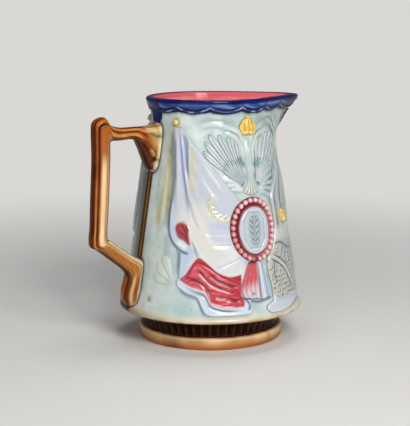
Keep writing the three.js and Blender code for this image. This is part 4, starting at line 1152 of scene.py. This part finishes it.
def wall_paint(u, v, height, turn):
    """Brushed colours on the outside of the wall, with painted shade beside the handle."""
    coat = bare(u)
    worn = 0.84 + 0.16 * np.sin(0.34 * v + 1.7 * np.sin(0.37 * u + 0.1 * v))
    brush(coat, u, v, STREAKS, worn)
    brush(coat, u, v, FOLD_SHADES)
    brush(coat, u, v, [(line, 1.1, RIBBON_SHADE, 0.85, 0.06) for line in HOOKS])
    for at_u, at_v in SPECKS:
        paint(coat, bell(u - at_u, SPECK) * bell(v - at_v, SPECK), "#4A3A28", 0.9)
    brush(coat, u, v, [(line, 2.2, "#4A8586", 0.85) for line in TEAL_POOLS])
    plaque = np.array(MEDALLION_HALF) + SPRIG_GAP / 2
    reach = np.hypot((u - MEDALLION_CENTRE[0]) / plaque[0], (v - MEDALLION_CENTRE[1]) / plaque[1])
    paint(coat, within(reach, 0.93, 1.07, 0.02), "#8A1A28", 0.95)
    brush(coat, u, v, CLOTH_OUTLINES)
    flange_paint(coat, height, turn)
    from_spout = (math.pi - from_handle_line(turn)) * wall_radius(height)
    brush(coat, from_spout, height, THROAT_BLUES)
    handle_shade(coat, height, turn)
    return coat


def wall_pool(u, v, height, turn, hollows):
    """Where the ground glaze gathers: beside sprigs, in hollows and under the rim's border."""
    uneven = 0.7 + 0.3 * np.sin(0.21 * u + 2 * np.sin(0.13 * v))
    beside = 0.5 * uneven * np.clip(gathered(u, v, 4) / 1.2, 0, 1)
    runs = [cover * soft_line(u, v, line, width) for line, width, cover in POOLS]
    under_border = 0.6 * bell(height - border_foot(turn), 1.6)
    return np.maximum.reduce([beside, hollows, *runs, under_border])


WALL_COLUMNS, WALL_STEP, LINING_ROWS = 500, 1.12, 22


def body_wall():
    """The wall: celadon outside, with its flange and low folds, and a plain rose lining inside."""
    levels = [z for _, z in FLANGE] + [*np.arange(TAPER_FOOT + 1, WALL_TOP, WALL_STEP), WALL_TOP]
    turn = turns(WALL_COLUMNS)
    height = np.array(levels) + 0 * turn
    facing = np.where(np.sin(turn) < 0, turn - RIGHT[0], LEFT[0] - turn)
    u = np.arctan2(np.sin(facing), np.cos(facing)) * wall_radius(height)
    v = drawn_level(height)
    folds = ridges(u, v, WALL_FOLDS)
    outside = place(skin_radius(turn, height) + folds, turn, height)
    inner_levels = np.insert(np.linspace(WALL_TOP, TAPER_FOOT, LINING_ROWS), 1, WALL_TOP - LIP_EDGE)
    inner = [(wall_radius(z) - WALL, z) for z in inner_levels]
    inner.append((FOOT_TOP_RADIUS - WALL / 2, (WALL_FOOT + TAPER_FOOT) / 2))
    inner.append((FOOT_TOP_RADIUS - WALL, WALL_FOOT))
    radius, level = np.array(inner).T
    inside = place(radius + 0 * turn, turn, level + 0 * turn)
    points = np.concatenate([outside, inside], 1)
    outer, rows = outside.shape[1], points.shape[1]
    hollows, crests = pooling(folds, 6)
    lining = np.zeros((WALL_COLUMNS, rows), int)
    lining[:, outer:] = 1
    coat, pool, thin = bare(lining), np.zeros(lining.shape), np.zeros(lining.shape)
    coat[:, :outer] = wall_paint(u, v, height, turn)
    pool[:, :outer] = wall_pool(u, v, height, turn, hollows)
    thin[:, :outer] = 0.8 * crests
    piece("body_wall_glazed", ["body_wall"], "celadon_glaze", [celadon, rose], points,
          ring_faces(WALL_COLUMNS, rows), coat, pool, thin, lining)


COVE_MIDDLE = 62.5  # radius of the cove halfway up
FLUTE_COLUMNS = 12


def foot_profile():
    """Rows of the foot ring from its outer bottom edge round to its ledge, how fluted each is, and
    which of them are the cove's."""
    quarter = np.linspace(0, math.pi / 2, 8)
    inset, rise = FOOT_ROUNDING * (1 - np.sin(quarter)), FOOT_ROUNDING * (1 - np.cos(quarter))
    bottom = np.column_stack([FOOT_RADIUS - inset, rise])
    top = np.column_stack([FOOT_RADIUS - rise, FOOT_BAND - inset])
    middle = (FOOT_BAND + FOOT_HEIGHT) / 2
    cove = curve([
        (FOOT_RADIUS - FOOT_ROUNDING, FOOT_BAND), (HOLLOW_RADIUS, FOOT_BAND + FOOT_ROUNDING / 2),
        (COVE_MIDDLE, middle), (FOOT_TOP_RADIUS, FOOT_HEIGHT),
    ], 28)[1:]
    bore = HOLLOW_RADIUS - WALL
    back = [
        (FOOT_TOP_RADIUS - WALL, FOOT_HEIGHT), (bore, middle), (bore, LEDGE_HEIGHT),
        (bore - LEDGE_WIDTH, LEDGE_HEIGHT), (bore - LEDGE_WIDTH, 0),
    ]
    in_cove = slice(2 * len(quarter), 2 * len(quarter) + len(cove))
    profile = np.vstack([bottom, top, cove, back])
    fluted = np.zeros(len(profile))
    fluted[in_cove] = np.sin(np.linspace(0.1, 0.97, len(cove)) * math.pi) ** 0.5
    return profile, fluted, in_cove


def foot_ring():
    """The foot: a honey-coloured band below and a dark fluted cove above it."""
    columns = FLUTES * FLUTE_COLUMNS
    profile, fluted, cove_rows = foot_profile()
    radius, height = profile.T[:, None, :]
    turn = turns(columns)
    valley = 1 - np.abs(np.cos(turn * FLUTES / 2))
    points = place(radius - FLUTE_DEPTH * valley * fluted, turn, height + 0 * turn)
    cove = np.zeros((columns, len(profile)))
    cove[:, cove_rows] = 1
    band = 1 - cove
    streak = 0.5 + 0.5 * np.sin(7 * turn + 2 * np.sin(3 * turn) + height / 3)
    stain = np.clip(np.sin(5 * turn + 1.4 * np.sin(11 * turn) + height / 6), 0, 1) ** 2
    low = bell(height - 3.4 - 1.2 * np.sin(2 * turn), 1.3)
    rib = np.clip(1 - valley * 16, 0, 1)
    glint = cove * smooth(11.4, 13, height) * (1 - smooth(16, 22, height))
    coat = bare(cove)
    paint(coat, band, "#B46C2E", 0.9)
    paint(coat, band * streak * smooth(3, 7, height), "#F0CC94", 0.85)
    paint(coat, band * stain, "#A8602A", 0.7)
    paint(coat, band * bell(from_handle_line(turn) - 0.55, 0.16), "#6A2E10", 0.75)
    paint(coat, band * low * (1 - 0.6 * streak), "#9A4E18", 0.6)
    # Painted highlight along the band's rounded top edge
    paint(coat, band * bell(height - FOOT_BAND + 1.4, 1.1), "#F3D9AC", 0.7)
    paint(coat, cove, "#160705", 0.97)
    paint(coat, glint * rib, "#7A4A30", 0.32)
    paint(coat, cove * (1 - smooth(11, 12.4, height)), "#5A220C", 0.8)
    piece("foot_ring_glazed", ["foot_ring"], "treacle_glaze", [treacle], points,
          ring_faces(columns, len(profile)), coat, 0.6 * valley * fluted)


DISH = 0.2  # share of the floor's thickness by which its middle is lower


def base_disc():
    """The floor, dished a little and rose-coloured on top."""
    radius = HOLLOW_RADIUS - WALL - SLIP
    x, y, share = disc((radius, radius), 60)
    under = LEDGE_HEIGHT + SLIP
    dished = under + FLOOR * (1 - DISH * (1 - share**2))
    points = np.stack([np.stack([AXIS + x, y, level + 0 * x], -1) for level in (dished, under)])
    piece("base_disc_glazed", ["base_disc"], "celadon_glaze", [celadon, rose], points,
          slab_faces(*x.shape), glaze_of=np.repeat([1, 0], x.size))


def border_paint(turn, level, over, crescent, band):
    """Cobalt of the rim's border: dark scallops, a pale line along them and a washed blue top, whose pale
    patches are partly thin glaze and partly painted reflection; near the spout, painted shade.
    """
    plain = smooth(1.0, 1.4, from_handle_line(turn) / TAB_HALF_ANGLE)
    thin_glaze_and_sheen = np.clip(0.3 + 0.7 * np.sin(9 * turn + 2.6 * np.sin(4 * turn) + level), 0, 1)
    broken = np.clip(0.45 + 0.8 * np.sin(21 * turn + 3 * np.sin(5 * turn)), 0.1, 1)
    painted_shade_near_spout = 1 - smooth(0.2, 0.55, math.pi - from_handle_line(turn))
    coat = bare(level)
    paint(coat, plain * smooth(1.6, 3.2, over) + plain * band, "#2B478F", 0.85)
    # Pale patches on the washed top: partly thin glaze, partly painted reflection
    paint(coat, plain * smooth(1.8, 3.4, over) * thin_glaze_and_sheen, "#7F9DD4", 0.65)
    paint(coat, plain * crescent * (1 - band), "#0A1140", 0.9)
    paint(coat, plain * (1 - smooth(-1.0, -0.3, over)), "#0B1440", 0.9)
    paint(coat, plain * bell(over, LINE_WIDTH) * broken, "#A4BCE4", 0.9)
    # Painted shade: near black beside the spout
    paint(coat, painted_shade_near_spout + 0 * level, "#070B2A", 0.85)
    return coat


LINING_FADE = [0.3, 0.8, 1, 1, 1, 1]  # cover of the rose lining on the last rows of the lip
COLLAR_ROWS, LIP_ROWS = 26, 14


def rim_collar():
    """The lip: a scalloped border outside, a rounded top edge, and a back that sits on the wall."""
    columns = 960
    turn = turns(columns)
    from_handle = from_handle_line(turn)
    foot = border_foot(turn)
    lift = LIP_LIFT * bell(math.pi - from_handle, 0.4)
    flare = LIP_FLARE * bell(from_handle, 0.8)
    level = foot + (WALL_TOP + lift - foot) * np.linspace(0, 1, COLLAR_ROWS)
    over = level - hanging(turn, LINE_CUSP, LINE_LOW)
    band = smooth(WALL_TOP - 3.0, WALL_TOP - 1.2, level)
    crescent = within(over, 0.7, 2.6, 0.5)
    pressed = crescent * (1 - band)
    swell = 0.4 + 0.5 * rounded(level - foot, 0.9) + 0.45 * bell(over, LINE_WIDTH) - 0.2 * pressed
    radius = wall_radius(level) + SLIP + np.minimum(BORDER, swell)
    radius = radius + 0.6 * flare * smooth(WALL_TOP - 5, WALL_TOP, level)
    angle = np.linspace(0, math.pi, LIP_ROWS)
    lip_outer = RIM_RADIUS - LIP_INSET + flare - 0.3 * lift
    lip_inner = wall_radius(JUG_HEIGHT - LIP_HEIGHT) - WALL + LIP_INSET
    lip_radius = (lip_outer + lip_inner) / 2 + (lip_outer - lip_inner) / 2 * np.cos(angle)
    lip_level = JUG_HEIGHT + lift - LIP_HEIGHT * (1 - np.sin(angle))
    seat = WALL_TOP + SLIP + 0 * turn
    inner_edge = seat - SLIP + LIP_INSET
    back_level = np.hstack([inner_edge + LIP_EDGE, inner_edge, seat, (foot + WALL_TOP) / 2, foot])
    back_radius = wall_radius(back_level) + np.array([-WALL, -WALL, SLIP, SLIP, 0.05])
    points = place(np.hstack([radius, lip_radius, back_radius]), turn,
                   np.hstack([level, lip_level, back_level]))
    rows = points.shape[1]
    lip_end = COLLAR_ROWS + LIP_ROWS
    lining, pool = np.zeros((columns, rows)), np.zeros((columns, rows))
    lining[:, lip_end - 4:lip_end + 2] = LINING_FADE
    coat = bare(lining)
    coat[:, :COLLAR_ROWS] = border_paint(turn, level, over, crescent, band)
    paint(coat, lining, "#EC6871")
    pool[:, :COLLAR_ROWS] = 0.3 * pressed
    piece("rim_collar_glazed", ["rim_collar"], "cobalt_glaze", [cobalt], points,
          ring_faces(columns, rows), coat, pool)


# Handle

# Coats of the handle: treacle glaze, with painted shade on the faces turned from the light and painted
# highlights in cream on the lit faces. Columns: stations from the pad (0) by the arm (5 to 7), the
# knuckle, the grip (11 to 14) and the strut to the tongue (19 on), degrees round a section from its outer
# side, colour, cover
HANDLE_COATS_WITH_LIGHT_AND_SHADE = [
    (9.4, 15, -20, 22, "#2E0D03", 0.94),
    (9.0, 15, 24, 40, "#54190A", 0.9),
    (7.2, 9.6, -20, 30, "#7E380E", 0.85),
    (7.2, 9.4, 32, 54, "#B9621C", 0.85),
    (11.4, 15, 43, 54, "#D0803A", 0.9),
    (9.0, 11.6, 43, 54, "#8A3E10", 0.8),
    (7.6, 14.6, 57, 72, "#481604", 0.9),
    (7.6, 11.2, 74, 104, "#AE5A1A", 0.85),
    (8.0, 11.4, 105, 120, "#EBC088", 0.85),
    (11.0, 14.8, 73, 82, "#B0621E", 0.9),
    (11.0, 14.8, 83, 121, "#FFDDA8", 0.97),
    (11.0, 14.6, 103, 108, "#C8803C", 0.8),
    (7.6, 14.4, 124, 200, "#A55A22", 0.85),
    (4.2, 7.4, -20, 26, "#5A1E06", 0.92),
    (3.8, 7.8, 32, 48, "#B8621E", 0.85),
    (3.6, 8.0, 53, 68, "#EBA75E", 0.92),
    (3.2, 7.8, 72, 84, "#4E1A05", 0.9),
    (4.0, 7.8, 90, 112, "#E29C58", 0.88),
    (4.4, 7.8, 116, 124, "#7A360E", 0.8),
    (0.8, 4.2, 98, 128, "#4A1704", 0.85),
    (0.6, 7.2, 128, 200, "#160602", 0.97),
    (14.8, 18.6, -20, 28, "#1E0903", 0.95),
    (14.8, 19.2, 30, 54, "#5A2106", 0.9),
    (14.8, 18.6, 58, 80, "#D69C58", 0.9),
    (14.8, 18.6, 82, 98, "#B9702E", 0.85),
    (14.6, 18.4, 100, 200, "#F5D6A4", 0.94),
    (18.6, 24, -20, 24, "#B05A1E", 0.85),
    (18.6, 24, 26, 60, "#3E1404", 0.92),
    (18.6, 24, 64, 88, "#EBBE80", 0.88),
    (18.6, 24, 92, 98, "#7A3A10", 0.8),
]
# Strokes on the pad's sides, as distance out from the axis and height: most are painted shade under the
# arm and painted highlights on the bulge below it
PAD_STROKES_WITH_LIGHT_AND_SHADE = [
    ([(68, 187), (61, 188), (56.5, 184), (55.5, 172)], 4.4, "#E2CC92", 0.7, 0.1),
    ([(62, 185), (58.6, 176)], 2.6, "#B79A50", 0.6, 0.1),
    ([(74, 178), (66, 168), (60, 159)], 4.4, "#4A1A06", 0.8, 0.1),
    ([(63.5, 172), (60.6, 165)], 2.0, "#D39A58", 0.8, 0.1),
    ([(60, 161), (57.5, 156)], 2.2, "#EBCB92", 0.8, 0.1),
    ([(88, 184.6), (76, 182), (66, 177), (59.6, 169), (56, 161)], 1.1, "#4E1A05", 0.9, 0.1),
]
# Sections of the strut: shares of the way in from the elbow, above and below, and the width
STRUT_SECTIONS = [
    (0.08, 0.18, GRIP_WIDTH + SWELL),
    (0.4, 0.5, ARM_WIDTH),
    (0.72, 0.78, ARM_WIDTH),
]


def proud(height, out):
    """A point so far out from the wall, as distance from the axis and height."""
    return float(wall_radius(height)) + out, height


def between(a, b, share):
    """A point part of the way from one to another."""
    return a[0] + (b[0] - a[0]) * share, a[1] + (b[1] - a[1]) * share


def handle_stations():
    """Sections from the pad round the bracket to the tongue's curl: inside and outside points in the
    handle's plane, as distance from the axis and height, and the width."""
    arm_under, pad_low = ARM_TOP - ARM_DEPTH, PAD_TOP - PAD_HEIGHT
    pad_taper = (ARM_WIDTH - PAD_WIDTH) / 3
    pad_middle = proud(pad_low + PAD_HEIGHT * 0.28, PAD_FLARE * 0.46)
    pad_neck = proud(arm_under - ARM_DEPTH * 0.7, PAD_FLARE * 0.7)
    arm_root = proud(arm_under, PAD_FLARE), proud(ARM_TOP, PAD_FLARE)
    grip_inside = GRIP_REACH - GRIP_DEPTH
    arm_end = (grip_inside, arm_under), (grip_inside, ARM_TOP)
    swollen = GRIP_WIDTH + SWELL
    bend = np.linspace(0, math.pi / 2, 4)
    corner = np.column_stack([
        grip_inside - CORNER * (1 - np.sin(bend)),
        arm_under - CORNER * (1 - np.cos(bend)),
    ])
    knuckle_top, grip_top = ARM_TOP + KNUCKLE_RISE, arm_under - GRIP_DEPTH
    grip_head = (grip_inside, grip_top), (GRIP_REACH, grip_top)
    elbow = (ELBOW_REACH - GRIP_DEPTH, ELBOW_HEIGHT + GRIP_DEPTH / 3), (ELBOW_REACH, ELBOW_HEIGHT)
    grip_foot = ELBOW_HEIGHT + GRIP_DEPTH
    strut_top, strut_under = proud(STRUT_SEAT, 0), proud(STRUT_SEAT - STRUT_DEPTH, STRUT_DEPTH)
    heel = proud(STRUT_SEAT - STRUT_DEPTH, STRUT_DEPTH + TONGUE_HEEL)
    stations = [
        (proud(pad_low, -ROOT), proud(PAD_TOP, -ROOT), PAD_WIDTH),
        (proud(pad_low + PAD_EDGE / 3, PAD_EDGE / 2), proud(PAD_TOP, PAD_EDGE / 4), PAD_WIDTH),
        (proud(pad_low + PAD_EDGE, PAD_EDGE * 1.5), proud(PAD_TOP - 0.4, PAD_EDGE), PAD_WIDTH),
        (pad_middle, proud(ARM_TOP + 1, PAD_FLARE / 3), PAD_WIDTH + pad_taper),
        (pad_neck, proud(ARM_TOP, PAD_FLARE * 0.7), PAD_WIDTH + 2 * pad_taper),
        (*arm_root, ARM_WIDTH),
        (between(arm_root[0], arm_end[0], 0.6), between(arm_root[1], arm_end[1], 0.6), ARM_WIDTH),
        (corner[0], (grip_inside, ARM_TOP + KNUCKLE_RISE / 3), ARM_WIDTH),
        (corner[1], (grip_inside + GRIP_DEPTH / 3, knuckle_top), swollen),
        (corner[2], (GRIP_REACH - CORNER / 2, knuckle_top - KNUCKLE_RISE / 3), swollen),
        (corner[3], (GRIP_REACH, ARM_TOP - CORNER), swollen),
        (*grip_head, GRIP_WIDTH),
        (between(grip_head[0], elbow[0], 0.5), between(grip_head[1], elbow[1], 0.5), GRIP_WIDTH),
        ((elbow[0][0], grip_foot), (ELBOW_REACH - SWELL, grip_foot), GRIP_WIDTH),
        (*elbow, swollen),
    ]
    for above, below, width in STRUT_SECTIONS:
        strut = between(elbow[0], strut_top, above), between(elbow[1], strut_under, below)
        stations.append((*strut, width))
    stations.append((proud(STRUT_SEAT - 1, -ROOT), heel, TONGUE_WIDTH))
    for down, out, wide in TONGUE_SECTIONS:
        level = STRUT_SEAT - down * (STRUT_SEAT - TONGUE_LOW)
        stations.append((proud(level, -ROOT), proud(level, out * TONGUE_PROUD), wide * TONGUE_WIDTH))
    return np.array([[*a, *b, w] for a, b, w in stations])


def squared(wave):
    """A sine or cosine bent towards the square section of the handle."""
    return np.sign(wave) * np.abs(wave) ** SQUARENESS


def handle():
    """The reeded bracket handle, lofted through its stations and brushed in coats of brown, among them
    painted shade on the faces turned from the light and painted highlights on the lit faces.
    """
    per_span, around = 10, 96
    stations = handle_stations()
    t = np.linspace(0, 1, per_span, endpoint=False)[:, None]
    sections = np.vstack([smooth_run(stations, t), stations[-1:]])
    sections[:, 2] = np.minimum(sections[:, 2], ELBOW_REACH)
    station = (np.arange(len(sections)) / per_span)[:, None]
    x0, z0, x1, z1, width = sections.T[:, :, None]
    angle = turns(around).T
    across_reed = (angle / FULL_TURN * REEDS + 0.5) % 1 * 2 - 1
    groove = 1 - np.sqrt(1 - (0.98 * across_reed) ** 2)
    crest = 1 - REED_DEPTH * groove
    along, across = crest * squared(np.cos(angle)) / 2, crest * squared(np.sin(angle)) / 2
    out = (x0 + x1) / 2 + along * (x1 - x0)
    y = across * width
    z = (z0 + z1) / 2 + along * (z1 - z0)
    clear = np.hypot(out, y) - wall_radius(np.clip(z, TAPER_FOOT, JUG_HEIGHT))
    face = np.degrees(np.arccos(np.cos(angle))) + 0 * out
    wander = 0.5 + 0.5 * np.sin(station * 2.3 + 3 * np.sin(angle) + 2 * np.sin(station * 0.9))
    fleck = np.clip(np.sin(station * 41) * np.sin(angle * 17 + station * 13) - 0.3, 0, 1)
    coat = bare(out)
    # The coats include painted shade on the faces turned from the light and painted highlights on the lit
    # faces
    for start, end, low, high, code, cover in HANDLE_COATS_WITH_LIGHT_AND_SHADE:
        mask = within(station, start, end, 0.4) * within(face, low, high, 5)
        paint(coat, mask * (0.8 + 0.2 * wander), code, cover)
    paint(coat, 1.4 * fleck * within(station, 15, 18.4, 0.4), "#6A2C0A", 0.7)
    # Painted shade and painted highlights on the pad's sides
    brush(coat, out, z, PAD_STROKES_WITH_LIGHT_AND_SHADE, 1 - smooth(4.5, 6.5, station))
    paint(coat, 1 - smooth(0.6, 3.4, clear), "#EFDDB0", 0.85)
    pool = np.clip(1.2 * groove, 0, 1) * (0.7 + 0.3 * wander)
    thin = 0.4 * bell(across_reed, 0.4) * (0.3 + 0.7 * wander)
    points = np.stack([AXIS - out, y, z], -1)
    piece("handle_glazed", ["handle"], "treacle_glaze", [treacle], points,
          tube_faces(len(sections), around), coat, pool, thin)


STRIP_WIDTH, STRIP_RISE, STRIP_GAP = 5.4, 1.6, 5.0
LEAF_TOP, LEAF_LENGTH, LEAF_WIDTH, LEAF_RISE = 202.2, 19.0, 13.0, 2.4


def spine_strip():
    """The dark rounded strip on the wall behind the handle."""
    low, high = STRUT_SEAT + STRIP_GAP, PAD_TOP - PAD_HEIGHT
    s, height = np.meshgrid(np.linspace(-1, 1, 21), np.linspace(high, low, 90))
    u, v = s * STRIP_WIDTH / 2, drawn_level(height)
    rise = (0.9 + STRIP_RISE) * rounded(1 - np.abs(s), 0.9)
    coat = bare(u)
    paint(coat, np.ones_like(u), "#4A2E12", 0.96)
    paint(coat, 1 - smooth(-0.2, 0.5, s), "#180C05", 0.94)
    paint(coat, within(s, 0.6, 0.9, 0.1) * (0.6 + 0.4 * np.sin(height / 9)), "#80501F", 0.6)
    pool, thin = pooling(rise)
    slab("spine_strip", "treacle_glaze", treacle, HANDLE_LINE, u, v, rise, coat, pool, 0.2 * thin)


def spout_leaf():
    """A veined leaf under the spout, dark above and pale at its tip."""
    s, t = np.meshgrid(np.linspace(-1, 1, 50), np.linspace(1, 0, 60))
    half = LEAF_WIDTH / 2 * (0.25 + 0.75 * np.sqrt(t)) * (1 - 0.25 * smooth(0.9, 1, t))
    u, v = s * half, drawn_level(LEAF_TOP - LEAF_LENGTH * (1 - t))
    edge = np.minimum.reduce(from_edges(u, v))
    vein = bell(s, 0.12)
    veins = np.sin(FULL_TURN * (5 * t - 1.2 * np.abs(s)))
    rise = rounded(edge, 1.4) * (0.7 + LEAF_RISE * (1 - np.abs(s)) * 0.6 + 0.3 * vein + 0.2 * veins)
    rise = rise * (0.3 + 0.7 * smooth(0, 0.4, t))
    coat = bare(u)
    paint(coat, np.ones_like(u), "#1C0C06", 0.92)
    paint(coat, np.clip(veins, 0, 1) * smooth(0.1, 0.6, t), "#8A5420", 0.8)
    paint(coat, vein, "#B98038", 0.6)
    paint(coat, 1 - smooth(0.0, 0.75, t - 0.25 * vein), "#A9BDBB", 0.9)
    pool, thin = pooling(rise)
    slab("spout_leaf", "treacle_glaze", treacle, SPOUT_LINE, u, v, rise, coat, pool, 0.2 * thin)


def dress_jug():
    """Every piece. The sprigs come before the wall, which needs their relief."""
    drape()
    drape_hem()
    medallion()
    bead_frame()
    wing("wing_rear", -1)
    wing("wing_fore", 1)
    plume()
    gold_dome()
    for knob in KNOBS:
        gold_knob(*knob)
    ribbons()
    banner()
    leaf_spray()
    body_wall()
    foot_ring()
    base_disc()
    rim_collar()
    handle()
    spine_strip()
    spout_leaf()


# Studio

FLOOR_REACH = 30.0
VIEW_TURN = math.radians(-29.5)
VIEW_DISTANCE, VIEW_HEIGHT, VIEW_OFFSET, VIEW_PITCH = 1091.0, 300.0, -4.75, math.radians(9.92)
FOCAL_PIXELS, FRAME_PIXELS, SENSOR = 1236.0, 426.0, 36.0
TO_RIGHT = Vector((math.cos(VIEW_TURN), math.sin(VIEW_TURN), 0))
AHEAD = Vector((-math.sin(VIEW_TURN), math.cos(VIEW_TURN), 0))
MIDDLE = Vector((AXIS * MM, 0, 0.105))
PAPER, FAR_PAPER, PAPER_ROUGHNESS = "#ECEBE8", "#D9D8D5", 0.85
SWEEP_NEAR, SWEEP_FAR = 0.2, 0.9  # metres from the origin between which the paper evens out
ROOM_LIGHT = 0.2
# Lamps: metres to the right of the jug's middle, nearer the camera and up, size and watts
LAMPS = {
    "key_softbox": (0.45, 1.2, 0.8, 0.6, 15.5),
    "fill_softbox": (-0.7, 1.3, 0.4, 1.0, 3.5),
    "top_softbox": (0.2, -0.2, 1.4, 0.7, 5),
}


def add_camera():
    """The camera where the photograph was taken from."""
    camera = bpy.data.objects.new("camera", bpy.data.cameras.new("camera"))
    bpy.context.scene.collection.objects.link(camera)
    camera.data.lens = FOCAL_PIXELS * SENSOR / FRAME_PIXELS
    camera.data.sensor_width = SENSOR
    stand = Vector((AXIS, 0, VIEW_HEIGHT)) - AHEAD * VIEW_DISTANCE + TO_RIGHT * VIEW_OFFSET
    camera.location = stand * MM
    gaze = AHEAD * math.cos(VIEW_PITCH) - Vector((0, 0, math.sin(VIEW_PITCH)))
    camera.rotation_mode = "QUATERNION"
    camera.rotation_quaternion = gaze.to_track_quat("-Z", "Y")
    bpy.context.scene.camera = camera


def softbox(name, right, nearer, up, size, watts):
    """A square soft lamp that faces the jug's middle."""
    lamp = bpy.data.lights.new(name, "AREA")
    lamp.size, lamp.energy = size, watts
    made = bpy.data.objects.new(name, lamp)
    bpy.context.scene.collection.objects.link(made)
    made.location = MIDDLE + TO_RIGHT * right - AHEAD * nearer + Vector((0, 0, up))
    made.rotation_mode = "QUATERNION"
    made.rotation_quaternion = (MIDDLE - made.location).to_track_quat("-Z", "Y")


def paper_sweep():
    """Matt white paper. Far from the jug the camera sees it evenly lit, as on a long sweep."""
    material = bpy.data.materials.new("matt_paper_sweep")
    material.use_nodes = True
    tree = material.node_tree
    tree.nodes.clear()
    spot = node(tree, "ShaderNodeTexCoord", {}).outputs["Object"]
    reach = node(tree, "ShaderNodeVectorMath", {0: spot}, operation="LENGTH").outputs["Value"]
    limits = {"Value": reach, "From Min": SWEEP_NEAR, "From Max": SWEEP_FAR}
    far = node(tree, "ShaderNodeMapRange", limits, interpolation_type="SMOOTHSTEP").outputs[0]
    seen = node(tree, "ShaderNodeLightPath", {}).outputs["Is Camera Ray"]
    share = node(tree, "ShaderNodeMath", {0: far, 1: seen}, operation="MULTIPLY").outputs[0]
    matt = {"Base Color": linear(PAPER), "Roughness": PAPER_ROUGHNESS}
    near = node(tree, "ShaderNodeBsdfPrincipled", matt).outputs[0]
    even = node(tree, "ShaderNodeEmission", {"Color": linear(FAR_PAPER)}).outputs[0]
    mixed = node(tree, "ShaderNodeMixShader", {0: share, 1: near, 2: even}).outputs[0]
    node(tree, "ShaderNodeOutputMaterial", {"Surface": mixed})
    return material


def add_floor():
    """A wide floor of paper under the jug."""
    mesh = bpy.data.meshes.new("floor")
    reach = FLOOR_REACH
    corners = [(-reach, -reach, 0), (reach, -reach, 0), (reach, reach, 0), (-reach, reach, 0)]
    mesh.from_pydata(corners, [], [(0, 1, 2, 3)])
    mesh.materials.append(paper_sweep())
    floor = bpy.data.objects.new("floor", mesh)
    bpy.context.scene.collection.objects.link(floor)


def add_studio():
    """A large lamp to the right, weaker ones to the left and above, and a dim white room."""
    scene = bpy.context.scene
    scene.view_settings.view_transform = "Standard"
    scene.world = bpy.data.worlds.new("studio")
    scene.world.use_nodes = True
    tree = scene.world.node_tree
    tree.nodes.clear()
    seen = node(tree, "ShaderNodeLightPath", {}).outputs["Is Camera Ray"]
    limits = {"Value": seen, "To Min": ROOM_LIGHT, "To Max": 1.0}
    strength = node(tree, "ShaderNodeMapRange", limits).outputs[0]
    wall = {"Color": linear(FAR_PAPER), "Strength": strength}
    room = node(tree, "ShaderNodeBackground", wall).outputs[0]
    node(tree, "ShaderNodeOutputWorld", {"Surface": room})
    for name, settings in LAMPS.items():
        softbox(name, *settings)


dress_jug()
add_camera()
add_floor()
add_studio()
